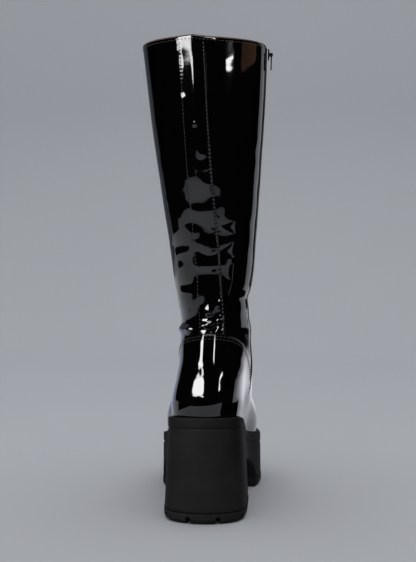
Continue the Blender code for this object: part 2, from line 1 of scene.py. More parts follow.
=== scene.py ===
# %% [markdown]
# # A knee-high platform boot in black patent
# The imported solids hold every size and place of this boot. This lesson dresses them: patent with its folds,
# thread, zip, moulded rubber, and a small photo studio whose glowing panels show up in the gloss.
# Each step says what the piece is on a real boot, how it could be made, and why it is made this way here.

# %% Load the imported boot
import math
from collections import namedtuple

import bmesh
import bpy
import numpy as np
from mathutils import Matrix, Vector, noise


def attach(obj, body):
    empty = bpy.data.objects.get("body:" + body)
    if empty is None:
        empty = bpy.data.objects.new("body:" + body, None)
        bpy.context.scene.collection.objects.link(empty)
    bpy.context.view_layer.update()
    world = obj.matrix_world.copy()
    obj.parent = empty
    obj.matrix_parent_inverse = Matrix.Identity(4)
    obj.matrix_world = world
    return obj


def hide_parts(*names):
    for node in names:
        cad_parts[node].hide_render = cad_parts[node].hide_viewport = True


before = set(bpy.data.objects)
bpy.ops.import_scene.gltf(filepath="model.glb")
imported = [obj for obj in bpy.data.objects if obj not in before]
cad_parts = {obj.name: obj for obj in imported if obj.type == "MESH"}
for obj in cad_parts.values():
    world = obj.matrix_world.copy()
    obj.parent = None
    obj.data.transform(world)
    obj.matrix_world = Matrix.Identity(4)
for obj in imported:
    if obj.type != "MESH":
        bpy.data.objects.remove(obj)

MM = 0.001
TAU = 2 * math.pi
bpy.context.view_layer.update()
print("packed nodes:", sorted(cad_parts))

# %% [markdown]
# ## The last: one function for the whole upper
# A shoemaker stretches the upper over a last, so every panel follows one smooth form. Sculpting each panel by
# hand would leave them at odds, so one function gives any point of the upper from two numbers: a place that
# climbs from the feather edge on the sole (0) to the collar (17), and an angle that turns from the back past
# the inner side to the toe and round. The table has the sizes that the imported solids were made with, in mm.

# %% Sizes of the upper's sections and of the sole's top
Ring = namedtuple(
    "Ring",
    "back_y back_z front_y front_z lateral_heel lateral_waist lateral_ball medial_heel medial_waist "
    "medial_ball back_round front_round follow zip_share strip_shift",
)
RINGS = (
    Ring(4.5, 100.1, 262.0, 57.2, 33.0, 35.0, 50.5, 32.8, 33.2, 46.5, 0.15, 0.28, 1.00, 0.330, 4.0),
    Ring(2.6, 112.0, 264.0, 68.5, 33.6, 35.8, 51.5, 34.6, 36.5, 47.5, 0.16, 0.28, 1.00, 0.335, 4.0),
    Ring(2.6, 123.5, 262.0, 80.0, 32.3, 35.0, 50.0, 35.6, 40.0, 46.5, 0.17, 0.29, 0.95, 0.340, 4.0),
    Ring(4.4, 134.5, 254.5, 90.0, 30.1, 33.0, 45.0, 36.6, 42.0, 43.2, 0.18, 0.31, 0.85, 0.350, 4.0),
    Ring(7.0, 145.0, 239.0, 96.6, 28.4, 30.8, 38.2, 37.2, 43.0, 38.5, 0.20, 0.34, 0.70, 0.365, 3.8),
    Ring(10.0, 155.0, 214.0, 102.3, 27.5, 28.8, 32.0, 37.6, 43.3, 36.0, 0.24, 0.38, 0.50, 0.385, 3.4),
    Ring(13.0, 164.5, 187.0, 110.7, 27.2, 27.8, 29.0, 38.0, 43.2, 35.5, 0.28, 0.43, 0.30, 0.410, 3.0),
    Ring(15.8, 174.5, 162.5, 125.5, 27.2, 27.4, 27.8, 38.2, 42.6, 36.0, 0.34, 0.49, 0.12, 0.435, 2.4),
    Ring(18.2, 185.5, 144.0, 147.5, 27.3, 27.5, 27.6, 38.4, 41.6, 37.4, 0.42, 0.56, 0.00, 0.460, 1.6),
    Ring(19.8, 198.0, 132.0, 174.5, 28.0, 28.2, 28.2, 38.6, 40.2, 38.6, 0.50, 0.62, 0.00, 0.480, 0.8),
    Ring(20.4, 214.0, 126.0, 204.0, 30.2, 30.3, 30.3, 40.0, 40.8, 40.2, 0.58, 0.66, 0.00, 0.490, 0.0),
    Ring(19.6, 236.0, 123.6, 232.0, 33.8, 34.0, 34.0, 44.2, 44.4, 44.2, 0.66, 0.70, 0.00, 0.500, -1.5),
    Ring(17.2, 264.0, 122.6, 262.5, 37.8, 37.8, 37.8, 46.9, 46.9, 46.9, 0.70, 0.72, 0.00, 0.500, -3.2),
    Ring(14.0, 298.0, 122.6, 297.5, 43.0, 43.0, 43.0, 49.5, 49.5, 49.5, 0.72, 0.72, 0.00, 0.500, -5.0),
    Ring(10.8, 337.0, 123.6, 337.0, 49.0, 49.0, 49.0, 52.2, 52.2, 52.2, 0.72, 0.72, 0.00, 0.500, -6.6),
    Ring(8.4, 377.0, 125.2, 377.0, 54.6, 54.6, 54.6, 54.8, 54.8, 54.8, 0.72, 0.72, 0.00, 0.500, -7.8),
    Ring(6.8, 417.0, 127.0, 417.0, 59.3, 59.3, 59.3, 56.9, 56.9, 56.9, 0.72, 0.72, 0.00, 0.500, -8.4),
    Ring(6.0, 457.5, 128.4, 457.5, 64.0, 64.0, 64.0, 58.0, 58.0, 58.0, 0.72, 0.72, 0.00, 0.500, -8.6),
)
COLLAR = len(RINGS) - 1.0
LATERAL_STATIONS = (0.17, 0.42, 0.64)
MEDIAL_STATIONS = (0.17, 0.45, 0.72)
SOLE_LENGTH = 268.0
SOLE_TOP_Y = (0.0, 45.0, 100.0, 150.0, 190.0, 230.0, SOLE_LENGTH)
SOLE_TOP_Z = (100.0, 94.0, 77.5, 61.5, 55.0, 54.0, 57.5)
LAYOUT_IN_FRAME = np.array((-0.2795, -133.898, 0.0))
print(f"{len(RINGS)} sections from the feather edge to a collar {RINGS[-1].back_z} mm over the floor")


# %% Smooth curves through a table
def natural_spline(knots, rows):
    """Gives a function that reads a smooth curve through rows of values, as a bent steel rule would lie."""
    knots = np.asarray(knots, float)
    rows = np.asarray(rows, float)
    steps = np.diff(knots)
    slopes = np.diff(rows, axis=0) / steps[:, None]
    matrix = np.eye(len(knots))
    right = np.zeros_like(rows)
    for i in range(1, len(knots) - 1):
        matrix[i, i - 1 : i + 2] = (steps[i - 1], 2 * (steps[i - 1] + steps[i]), steps[i])
        right[i] = 6 * (slopes[i] - slopes[i - 1])
    bends = np.linalg.solve(matrix, right)

    def read(place):
        place = np.asarray(place, float)
        i = np.clip(np.searchsorted(knots, place) - 1, 0, len(knots) - 2)
        step = steps[i][..., None]
        far = (place - knots[i])[..., None] / step
        near = 1 - far
        bend = (near**3 - near) * bends[i] + (far**3 - far) * bends[i + 1]
        return near * rows[i] + far * rows[i + 1] + bend * step**2 / 6

    return read


read_rings = natural_spline(range(len(RINGS)), RINGS)
read_sole_top = natural_spline(SOLE_TOP_Y, np.array(SOLE_TOP_Z)[:, None])


def smoother(value):
    """Goes from 0 to 1 with level ends."""
    t = np.clip(value, 0.0, 1.0)
    return t**3 * (t * (6 * t - 15) + 10)


def ring_at(place):
    """The section at one or many places, with each column as a number or an array."""
    return Ring(*np.moveaxis(read_rings(place), -1, 0))


def sole_top(y):
    """Height of the sole's top face at a distance from the heel's back."""
    return read_sole_top(np.clip(y, 0.0, SOLE_LENGTH))[..., 0]


print(f"sole's top: {sole_top(0.0):.0f} mm at the heel's back, {sole_top(SOLE_LENGTH):.1f} mm at the toe")


# %% The plan of a section
def end_round(distance, reach):
    """Share of the full width at a distance from an end that rounds off over a reach."""
    return np.sqrt(np.tanh(2 * np.maximum(distance, 0.0) / reach))


def side_width(share, stations, heel, waist, ball):
    """Width on one side at a share of the section's length, between its heel, waist and ball widths."""
    to_waist = smoother((share - stations[0]) / (stations[1] - stations[0]))
    to_ball = smoother((share - stations[1]) / (stations[2] - stations[1]))
    return heel + (waist - heel) * to_waist + (ball - waist) * to_ball


def plan_points(ring, angle):
    """The x and y of a section at angles, and the share of its length there."""
    turn = np.mod(angle, TAU)
    share = (1 - np.cos(turn)) / 2
    back_x = (ring.medial_heel - ring.lateral_heel) / 2
    front_x = (ring.medial_ball - ring.lateral_ball) / 2
    centre = back_x + (front_x - back_x) * smoother(share)
    medial = side_width(share, MEDIAL_STATIONS, ring.medial_heel, ring.medial_waist, ring.medial_ball)
    lateral = side_width(share, LATERAL_STATIONS, ring.lateral_heel, ring.lateral_waist, ring.lateral_ball)
    reach = np.where(turn <= math.pi, medial, -lateral) - centre
    at_middle = end_round(0.5, ring.back_round) * end_round(0.5, ring.front_round)
    rounding = end_round(share, ring.back_round) * end_round(1 - share, ring.front_round) / at_middle
    return centre + reach * rounding, ring.back_y + (ring.front_y - ring.back_y) * share, share


ends_x, _, _ = plan_points(RINGS[-1], np.array((0.5, 1.5)) * math.pi)
print(f"collar from {ends_x[1]:.0f} to {ends_x[0]:.0f} mm across")


# %% A point on the upper, and its outward direction
PROBE = 0.01


def unit(vectors):
    """Vectors brought to length 1."""
    return vectors / np.linalg.norm(vectors, axis=-1, keepdims=True)


def upper_points(place, angle):
    """Points on the smooth upper, in mm."""
    place, angle = np.broadcast_arrays(np.asarray(place, float), np.asarray(angle, float))
    ring = ring_at(place)
    x, y, share = plan_points(ring, angle)
    lift_back = ring.back_z - sole_top(ring.back_y)
    lift_front = ring.front_z - sole_top(ring.front_y)
    on_sole = sole_top(y) + lift_back + (lift_front - lift_back) * share
    straight = ring.back_z + (ring.front_z - ring.back_z) * share
    return np.stack((x, y, ring.follow * on_sole + (1 - ring.follow) * straight), axis=-1)


def upper_normals(place, angle):
    """Outward directions on the smooth upper."""
    above = upper_points(np.minimum(place + PROBE, COLLAR), angle)
    below = upper_points(np.maximum(place - PROBE, 0.0), angle)
    along = upper_points(place, angle + PROBE) - upper_points(place, angle - PROBE)
    return unit(np.cross(along, above - below))


print("back of the collar, in mm:", upper_points(COLLAR, 0.0).round(1).tolist())

# %% Distances round the boot
ARC_ROWS = 341
ARC_COLUMNS = 361
JUST_UNDER = 0.000001
ARC_PLACES = np.linspace(0.0, COLLAR, ARC_ROWS)
ARC_ANGLES = np.linspace(-math.pi, math.pi, ARC_COLUMNS)
section_points = upper_points(ARC_PLACES[:, None], ARC_ANGLES)
section_steps = np.linalg.norm(np.diff(section_points, axis=1), axis=-1)
ARCS = np.concatenate((np.zeros((ARC_ROWS, 1)), np.cumsum(section_steps, axis=1)), axis=1)
ARCS -= ARCS[:, ARC_COLUMNS // 2][:, None]
print(f"collar {ARCS[-1, -1] - ARCS[-1, 0]:.0f} mm round, ankle {(ARCS[:, -1] - ARCS[:, 0]).min():.0f} mm")


def arc_rows(place):
    """The two rows of the distance table beside a place, and the share of the upper one."""
    row = np.clip(place / COLLAR * (ARC_ROWS - 1), 0, ARC_ROWS - 1 - JUST_UNDER)
    low = row.astype(int)
    return low, row - low


def arc_at_angle(place, angle):
    """Distance from the boot's back, measured round the section, with the medial side positive."""
    place, angle = np.broadcast_arrays(np.asarray(place, float), np.asarray(angle, float))
    low, share = arc_rows(place)
    turned = np.mod(angle + math.pi, TAU) / TAU * (ARC_COLUMNS - 1)
    column = np.minimum(turned.astype(int), ARC_COLUMNS - 2)
    part = turned - column
    below = ARCS[low, column] * (1 - part) + ARCS[low, column + 1] * part
    above = ARCS[low + 1, column] * (1 - part) + ARCS[low + 1, column + 1] * part
    return below * (1 - share) + above * share


def angle_at_arc(place, arc):
    """Angle at a distance from the boot's back."""
    place, arc = np.broadcast_arrays(np.asarray(place, float), np.asarray(arc, float))
    low, share = arc_rows(place)
    flat = zip(low.ravel(), share.ravel(), arc.ravel())
    turns = [
        np.interp(a, ARCS[i], ARC_ANGLES) * (1 - s) + np.interp(a, ARCS[i + 1], ARC_ANGLES) * s
        for i, s, a in flat
    ]
    return np.reshape(turns, arc.shape)


# %% The zip's line
def zip_angle(place):
    """Angle of the zip's middle line, on the inner side."""
    return np.arccos(1 - 2 * ring_at(place).zip_share)


def angle_speed(place, angle):
    """Millimetres round the section for a turn of one radian."""
    ahead = upper_points(place, angle + PROBE) - upper_points(place, angle - PROBE)
    return np.linalg.norm(ahead, axis=-1) / (2 * PROBE)


print(f"the zip ends at the collar {math.degrees(zip_angle(COLLAR)):.0f} degrees round from the back")

# %% [markdown]
# ## Folds, dents and seams as relief
# Patent is a stiff mirror: it creases over the ankle, and a dent of half a millimetre already bends a
# reflection out of shape. Noise alone would put folds anywhere, so the main ones are placed from the
# photograph, each on a line between two points of the boot: distance round from the back and height over the
# floor. A soft trough has shoulders that rise beside it, and a ridge is a trough of negative depth.

# %% The folds of the ankle and shaft, in mm
Fold = namedtuple("Fold", "arc_from z_from arc_to z_to width depth shoulder")
FOLDS = (
    # the shaft slumps over the counter's top: a roll that bulges on the lateral side, and the dip over it
    Fold(-78.0, 178.0, -24.0, 181.0, 4.0, -2.8, 0.3),
    Fold(-26.0, 181.5, -2.0, 186.0, 4.0, -0.9, 0.3),
    Fold(-2.0, 186.0, 24.0, 195.0, 3.0, -0.6, 0.3),
    Fold(-72.0, 188.0, -22.0, 188.0, 13.0, 1.7, 0.0),
    Fold(1.0, 180.5, 12.0, 189.0, 2.2, 0.4, 0.4),
    # the ankle on the medial side: a notch with a fuller part under it
    Fold(30.0, 209.0, 74.0, 209.5, 8.0, 1.8, 0.4),
    Fold(36.0, 183.0, 72.0, 178.0, 9.0, -1.6, 0.2),
    # two lateral creases
    Fold(-50.0, 260.0, -25.0, 262.0, 5.0, 0.5, 0.0),
    Fold(-50.0, 223.0, -22.0, 224.0, 4.5, 0.45, 0.0),
    # dents and swells of the slack leather on the back
    Fold(3.0, 317.0, 10.0, 316.0, 8.0, -0.65, 0.0),
    Fold(-5.5, 351.0, -3.5, 347.0, 4.0, -0.36, 0.0),
    Fold(8.0, 303.0, 13.0, 303.0, 11.0, -1.05, 0.0),
    Fold(19.0, 284.0, 28.0, 283.0, 13.0, -1.1, 0.0),
    Fold(-6.0, 304.0, 4.0, 306.0, 11.0, 1.1, 0.0),
    Fold(-16.0, 284.0, 3.0, 281.0, 7.5, 0.85, 0.0),
    Fold(3.0, 271.0, 6.0, 268.0, 10.0, 1.0, 0.0),
    Fold(12.0, 275.0, 27.0, 276.0, 6.5, 0.6, 0.0),
    Fold(-5.0, 254.0, 8.0, 256.0, 13.0, -1.3, 0.0),
    Fold(-6.0, 240.0, 6.0, 239.0, 14.0, 1.3, 0.0),
    Fold(13.0, 252.0, 24.0, 252.0, 7.0, 0.6, 0.0),
    # small bumps that catch a panel: at the ankle, on the strip, under the collar, and low on the counter
    Fold(6.0, 205.0, 6.1, 205.5, 6.0, -1.05, 0.0),
    Fold(-0.6, 198.0, -0.4, 199.0, 4.4, -0.95, 0.0),
    Fold(8.5, 193.0, 8.6, 193.3, 2.0, -0.2, 0.0),
    Fold(-20.2, 396.0, -19.8, 399.0, 3.6, -0.4, 0.0),
    Fold(-8.5, 374.5, -8.4, 375.0, 2.4, -0.42, 0.0),
    Fold(-23.4, 444.0, -23.3, 445.0, 3.0, -0.12, 0.0),
    Fold(10.0, 113.0, 15.0, 113.0, 13.0, -2.1, 0.0),
    # the seam under the back strip, and the tendon line of the counter
    Fold(-6.7, 470.0, -8.4, 380.0, 4.0, -0.35, 0.0),
    Fold(-8.0, 152.0, -8.0, 170.0, 9.0, -0.9, 0.0),
    Fold(-9.0, 129.0, -9.0, 132.0, 13.0, 1.2, 0.0),
)


def fold_relief(arc, z):
    """Height of all folds over the smooth upper."""
    total = np.zeros(np.broadcast(arc, z).shape)
    for fold in FOLDS:
        run = fold.arc_to - fold.arc_from
        rise = fold.z_to - fold.z_from
        length = math.hypot(run, rise)
        along = ((arc - fold.arc_from) * run + (z - fold.z_from) * rise) / length**2
        across = ((z - fold.z_from) * run - (arc - fold.arc_from) * rise) / length
        beyond = np.maximum(np.abs(along - 0.5) - 0.5, 0.0) * length
        q = (across**2 + beyond**2) / fold.width**2
        total -= fold.depth * (1 - fold.shoulder * q) * np.exp(-q)
    return total


print(f"{len(FOLDS)} folds placed by hand, the deepest {max(abs(f.depth) for f in FOLDS)} mm")

# %% Slow waves of the leather
WAVE_LENGTH = 24.0
WAVE_HEIGHT = 0.33
WAVE_SOFTNESS = 1.2
WAVE_FINER = 2.4
WAVE_OCTAVES = 2
WAVE_LOW_Z = (172.0, 205.0)
WAVE_HIGH_Z = (330.0, 400.0)
WAVE_TOP_SHARE = 0.15
WAVE_PLACE = Vector((3.1, 7.7, 1.9))


def wave_relief(points):
    """Gentle waves where the shaft is slack, fading out at the taut counter and near the collar."""
    z = points[..., 2]
    flat = points.reshape(-1, 3) / WAVE_LENGTH
    waves = [noise.fractal(Vector(p) + WAVE_PLACE, WAVE_SOFTNESS, WAVE_FINER, WAVE_OCTAVES) for p in flat]
    waves = np.reshape(waves, z.shape)
    fade_in = smoother((z - WAVE_LOW_Z[0]) / (WAVE_LOW_Z[1] - WAVE_LOW_Z[0]))
    fade_out = smoother((z - WAVE_HIGH_Z[0]) / (WAVE_HIGH_Z[1] - WAVE_HIGH_Z[0]))
    return WAVE_HEIGHT * waves * fade_in * (1 - (1 - WAVE_TOP_SHARE) * fade_out)


print(f"waves about {WAVE_LENGTH:.0f} mm long between {WAVE_LOW_Z[0]:.0f} and {WAVE_HIGH_Z[1]:.0f} mm")

# %% The collar's peak
COLLAR_PEAK_ARC = -6.7
COLLAR_SAG_MEDIAL = 2.8
COLLAR_SAG_LATERAL = 1.2
COLLAR_SAG_REACH = 16.0
COLLAR_SAG_END = 75.0
COLLAR_SAG_FIRST = 15.6


def collar_sag(place, arc):
    """How far the collar hangs beside its peak on the back seam."""
    away = arc - COLLAR_PEAK_ARC
    depth = np.where(away > 0, COLLAR_SAG_MEDIAL, COLLAR_SAG_LATERAL)
    fall = (1 - np.exp(-np.abs(away) / COLLAR_SAG_REACH)) * np.exp(-((arc / COLLAR_SAG_END) ** 2))
    return depth * fall * smoother((place - COLLAR_SAG_FIRST) / (COLLAR - COLLAR_SAG_FIRST))


print(f"the collar hangs {collar_sag(COLLAR, 40.0):.1f} mm lower 40 mm beside the back seam")


# %% The skin: the last with all its relief
def skin(place, angle, height=0.0):
    """Points at a height over the upper with all its relief, in mm."""
    place, angle = np.broadcast_arrays(np.asarray(place, float), np.asarray(angle, float))
    arc = arc_at_angle(place, angle)
    points = upper_points(place, angle)
    relief = fold_relief(arc, points[..., 2]) + wave_relief(points)
    points = points + upper_normals(place, angle) * (relief + height)[..., None]
    points[..., 2] -= collar_sag(place, arc)
    return points


print("back of the ankle with its folds, in mm:", skin(9.0, 0.0).round(1).tolist())

# %% [markdown]
# ## Helpers for meshes and materials
# Every piece is a mesh from rows of points, so one function turns a grid of points into a smooth surface. A
# second one adds a node to a material: its settings, and what goes into its sockets.


# %% Meshes that ride on the boot
def in_frame(points):
    """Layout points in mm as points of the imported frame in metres."""
    return (np.asarray(points) + LAYOUT_IN_FRAME) * MM


def smooth_object(name, vertices, faces, material):
    """A mesh in one material with smooth shading, put into the scene."""
    mesh = bpy.data.meshes.new(name)
    mesh.from_pydata(np.asarray(vertices).tolist(), [], np.asarray(faces).tolist())
    mesh.materials.append(material)
    mesh.shade_smooth()
    made = bpy.data.objects.new(name, mesh)
    bpy.context.scene.collection.objects.link(made)
    return made


def mesh_piece(name, vertices, faces, material, replaces=(), uv=None):
    """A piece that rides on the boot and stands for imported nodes."""
    piece = smooth_object(name, vertices, faces, material)
    if uv is not None:
        layer = piece.data.uv_layers.new(name="surface")
        corners = np.empty(len(piece.data.loops), int)
        piece.data.loops.foreach_get("vertex_index", corners)
        layer.data.foreach_set("uv", uv[corners].ravel())
    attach(piece, "boot")
    if replaces:
        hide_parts(*replaces)
    print(f"{name}: {len(vertices)} points, {len(faces)} faces")
    return piece


print("the layout's origin in the frame, in m:", in_frame(np.zeros(3)).round(4).tolist())


# %% Grids of points as surfaces
WELD_DISTANCE = 1e-6


def grid_faces(rows, columns, wrap=False):
    """Quads over a grid of points, closed round each row if asked."""
    index = np.arange(rows * columns).reshape(rows, columns)
    if wrap:
        index = np.concatenate((index, index[:, :1]), axis=1)
    corners = (index[:-1, :-1], index[:-1, 1:], index[1:, 1:], index[1:, :-1])
    return np.stack(corners, axis=-1).reshape(-1, 4)


def grid_piece(name, points, material, replaces=(), wrap=False):
    """A surface through a grid of layout points, with its distances along the grid as UVs in metres."""
    rows, columns = points.shape[:2]
    across = np.linalg.norm(np.diff(points, axis=1, prepend=points[:, :1]), axis=-1).cumsum(axis=1)
    up = np.linalg.norm(np.diff(points, axis=0, prepend=points[:1]), axis=-1).cumsum(axis=0)
    uv = np.stack((across, up), axis=-1).reshape(-1, 2) * MM
    vertices = in_frame(points).reshape(-1, 3)
    faces = grid_faces(rows, columns, wrap)
    return mesh_piece(name, vertices, faces, material, replaces, uv=uv)


def weld(piece):
    """Joins points that lie on each other."""
    work = bmesh.new()
    work.from_mesh(piece.data)
    bmesh.ops.remove_doubles(work, verts=work.verts, dist=WELD_DISTANCE)
    work.to_mesh(piece.data)
    work.free()


print("a grid of 3 x 4 points has", len(grid_faces(3, 4)), "faces")


# %% Colours and nodes
def linear(hex_colour):
    """An sRGB colour such as #1e1e1e as the linear values that Blender's sockets take."""
    parts = [int(hex_colour[i : i + 2], 16) / 255 for i in (1, 3, 5)]
    return (*[c / 12.92 if c <= 0.04045 else ((c + 0.055) / 1.055) ** 2.4 for c in parts], 1.0)


def add_node(material, kind, sockets=None, **settings):
    """Adds a node with its settings, and puts values or other nodes' outputs into its sockets."""
    made = material.node_tree.nodes.new(kind)
    for name, value in settings.items():
        setattr(made, name, value)
    for name, value in (sockets or {}).items():
        if isinstance(value, bpy.types.NodeSocket):
            material.node_tree.links.new(value, made.inputs[name])
        else:
            made.inputs[name].default_value = value
    return made


def new_material(name, **sockets):
    """A material whose shader starts from plain values, and that shader."""
    material = bpy.data.materials.new(name)
    material.use_nodes = True
    shader = material.node_tree.nodes["Principled BSDF"]
    for socket, value in sockets.items():
        shader.inputs[socket.replace("_", " ")].default_value = value
    print("material", name)
    return material, shader


def per_mm(size):
    """Texture scale that gives a pattern of this size in mm, on coordinates in metres."""
    return 1.0 / (size * MM)


print("#303033 in linear light:", [round(part, 4) for part in linear("#303033")[:3]])

# %% [markdown]
# ## Patent leather
# Patent is leather or cloth under a thick film of polyurethane, poured and cured so that it flows level. The
# film is the coat of the shader: IOR 1.5 and almost no roughness. A mirror-flat film would look like glass,
# so a slow ripple about 16 mm wide bends its reflections a little, and a finer one like orange peel breaks
# their edges. Real orange peel is about 1 mm wide, and it is drawn 2.6 mm wide here so that it shows.

# %% Patent material
PATENT_RIPPLE = 16.0
PATENT_PEEL = 2.6
# poured film over black leather: the eye sees black depth with a mirror on top
patent, patent_shader = new_material(
    "black_patent_leather",
    Base_Color=linear("#070708"),
    Roughness=0.05,
    IOR=1.5,
    Coat_Weight=1.0,
    Coat_IOR=1.5,
    Coat_Roughness=0.012,
)
patent_place = add_node(patent, "ShaderNodeTexCoord").outputs["Object"]
ripple = add_node(
    patent, "ShaderNodeTexNoise", {"Vector": patent_place, "Scale": per_mm(PATENT_RIPPLE), "Detail": 1.0}
)
peel = add_node(
    patent, "ShaderNodeTexNoise", {"Vector": patent_place, "Scale": per_mm(PATENT_PEEL), "Detail": 2.0}
)
ripple_bump = add_node(
    patent, "ShaderNodeBump", {"Height": ripple.outputs["Fac"], "Strength": 0.10, "Distance": 1.2 * MM}
)
peel_bump = add_node(
    patent,
    "ShaderNodeBump",
    {
        "Height": peel.outputs["Fac"],
        "Strength": 0.04,
        "Distance": 0.15 * MM,
        "Normal": ripple_bump.outputs["Normal"],
    },
)
for socket in ("Normal", "Coat Normal"):
    patent.node_tree.links.new(peel_bump.outputs["Normal"], patent_shader.inputs[socket])

# %% [markdown]
# ## The patent upper
# On the boot this is the vamp and shaft, lasted in one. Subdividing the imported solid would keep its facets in
# the reflections, so the skin is sampled afresh from the last's function, about 1.5 mm apart. The edges turn
# in as cut patent does: over the collar, and into the slit of the zip.

# %% Places that climb in even steps
WALK_SAMPLES = 600


def even_places(first, last, count):
    """Places that climb the boot's back and front in even steps."""
    fine = np.linspace(first, last, WALK_SAMPLES)
    ends = upper_points(fine[:, None], np.array((0.0, math.pi)))
    walked = np.linalg.norm(np.diff(ends, axis=0), axis=-1).mean(axis=1).cumsum()
    walked = np.concatenate(((0.0,), walked))
    return np.interp(np.linspace(0.0, walked[-1], count), walked, fine)


print("four even places from the sole to the collar:", even_places(0.0, COLLAR, 4).round(1).tolist())

# %% The slit of the zip, row by row
SKIN_ROWS = 216
SKIN_COLUMNS = 392
SKIN_LAST = COLLAR - 0.02
# rows that turn in over the collar: their places, and their heights over the skin in mm
TURN_IN_PLACES = (COLLAR - 0.015, COLLAR - 0.02, COLLAR - 0.25)
TURN_IN_HEIGHTS = (-0.3, -1.8, -2.02)
ZIP_SLIT = 7.2
SLIT_END_PLACE = 2.5
SLIT_FULL_PLACE = 3.0
row_places = np.concatenate((even_places(0.0, SKIN_LAST, SKIN_ROWS), TURN_IN_PLACES))
row_heights = np.concatenate((np.zeros(SKIN_ROWS), TURN_IN_HEIGHTS))
slit_opening = smoother((row_places - SLIT_END_PLACE) / (SLIT_FULL_PLACE - SLIT_END_PLACE))
slit_half = slit_opening * ZIP_SLIT / 2 / angle_speed(row_places, zip_angle(row_places))
slit_first = zip_angle(row_places) + slit_half
slit_turn = TAU - 2 * slit_half
print(f"{np.count_nonzero(slit_opening)} of {len(row_places)} rows are open for the zip")

# %% Upper skin
# heights in mm of the lip that turns into the slit, from its inner edge out
LIP_HEIGHTS = (-1.9, -0.8, -0.2)
# rows lower than this lie inside the collar and have no lip
TURNED_IN = -0.5
skin_shares = np.linspace(0.0, 1.0, SKIN_COLUMNS)
lip_shares = np.concatenate((np.zeros(len(LIP_HEIGHTS)), skin_shares, np.ones(len(LIP_HEIGHTS))))
lip_heights = np.concatenate((LIP_HEIGHTS, np.zeros(SKIN_COLUMNS), LIP_HEIGHTS[::-1]))
skin_angles = slit_first[:, None] + slit_turn[:, None] * lip_shares
row_lips = np.where(row_heights[:, None] < TURNED_IN, 0.0, lip_heights) * slit_opening[:, None]
skin_points = skin(row_places[:, None], skin_angles, row_heights[:, None] + row_lips)
upper_skin = grid_piece("upper_skin", skin_points, patent, ["upper"])
weld(upper_skin)

# %% [markdown]
# ## Cut edge of the collar
# At the top the patent is cut and its brown backing shows as a line no thicker than the wall. It is a round
# bead over the rim, with fibres as bump: raw leather is matte, so it stays visible beside the gloss.

# %% Cut edge material
# bundles of fibres are about 0.2 mm thick, and are drawn coarser so that they show
CUT_FIBRE = 0.8
# raw fibres of a knife cut: a dull brown line beside the black mirror
cut_leather, cut_shader = new_material(
    "raw_cut_leather", Base_Color=linear("#6a5246"), Roughness=0.85, IOR=1.45
)
cut_place = add_node(cut_leather, "ShaderNodeTexCoord").outputs["Object"]
cut_fibres = add_node(
    cut_leather, "ShaderNodeTexNoise", {"Vector": cut_place, "Scale": per_mm(CUT_FIBRE), "Detail": 3.0}
)
cut_bump = add_node(
    cut_leather,
    "ShaderNodeBump",
    {"Height": cut_fibres.outputs["Fac"], "Strength": 0.5, "Distance": 0.2 * MM},
)
cut_leather.node_tree.links.new(cut_bump.outputs["Normal"], cut_shader.inputs["Normal"])

# %% Cut edge
# the bead's section from outside over the top to inside: place, height over the skin and lift in mm
RIM_SECTION = (
    (COLLAR - 0.025, 0.02, 0.0),
    (COLLAR - 0.012, 0.04, 0.0),
    (COLLAR, -0.2, 0.05),
    (COLLAR, -1.0, 0.3),
    (COLLAR, -1.8, 0.05),
    (COLLAR - 0.012, -2.04, 0.0),
    (COLLAR - 0.025, -2.06, 0.0),
)
rim_places, rim_heights, rim_lifts = np.array(RIM_SECTION).T
rim_angles = slit_first[-1] + slit_turn[-1] * skin_shares
rim_points = skin(rim_places[:, None], rim_angles, rim_heights[:, None])
rim_points[..., 2] += rim_lifts[:, None]
grid_piece("collar_edge", rim_points, cut_leather, ["upper"])

# %% [markdown]
# ## Heel counter and back strip
# Two panels are sewn over the upper: the counter that cups the heel, and a strip that covers the back seam. A
# Shrinkwrap could lay them on, but they are cut from the last's function as the solids are, a little higher
# than the upper, with their rims bent down to it so that each panel shows its thickness.

# %% Rims of a panel
PANEL_FACE = 0.75
RIM_DROPS = (0.72, 0.36, 0.1)


def rimmed(count):
    """Shares from 0 to 1 with points for a rim at each end, and how far the panel's face drops there."""
    start = np.zeros(len(RIM_DROPS))
    shares = np.concatenate((start, np.linspace(0.0, 1.0, count), start + 1))
    drops = np.concatenate((RIM_DROPS, np.zeros(count), RIM_DROPS[::-1]))
    return shares, drops


print(f"panels stand {PANEL_FACE} mm proud, with rims of {len(RIM_DROPS)} points")

# %% Heel counter
COUNTER_ARC_LATERAL = 124.0
COUNTER_ARC_MEDIAL = 103.0
COUNTER_TOP = 7.25
COUNTER_END_LATERAL = 1.2
COUNTER_END_MEDIAL = 3.4
COUNTER_EDGE_POWER = 3.2
COUNTER_COLUMNS = 230
COUNTER_ROWS = 90


def counter_edge(arc):
    """Place of the counter's top edge at a distance from the back."""
    lateral = arc < 0
    share = np.where(lateral, -arc / COUNTER_ARC_LATERAL, arc / COUNTER_ARC_MEDIAL)
    end = np.where(lateral, COUNTER_END_LATERAL, COUNTER_END_MEDIAL)
    return COUNTER_TOP - (COUNTER_TOP - end) * share**COUNTER_EDGE_POWER


counter_shares, counter_drops = rimmed(COUNTER_COLUMNS)
counter_climb, counter_climb_drops = rimmed(COUNTER_ROWS)
counter_arcs = -COUNTER_ARC_LATERAL + (COUNTER_ARC_LATERAL + COUNTER_ARC_MEDIAL) * counter_shares
counter_places = counter_edge(counter_arcs) * counter_climb[:, None]
counter_heights = PANEL_FACE - np.maximum(counter_drops, counter_climb_drops[:, None])
counter_points = skin(counter_places, angle_at_arc(counter_places, counter_arcs), counter_heights)
counter_panel = grid_piece("counter_panel", counter_points, patent, ["heel_counter"])
weld(counter_panel)

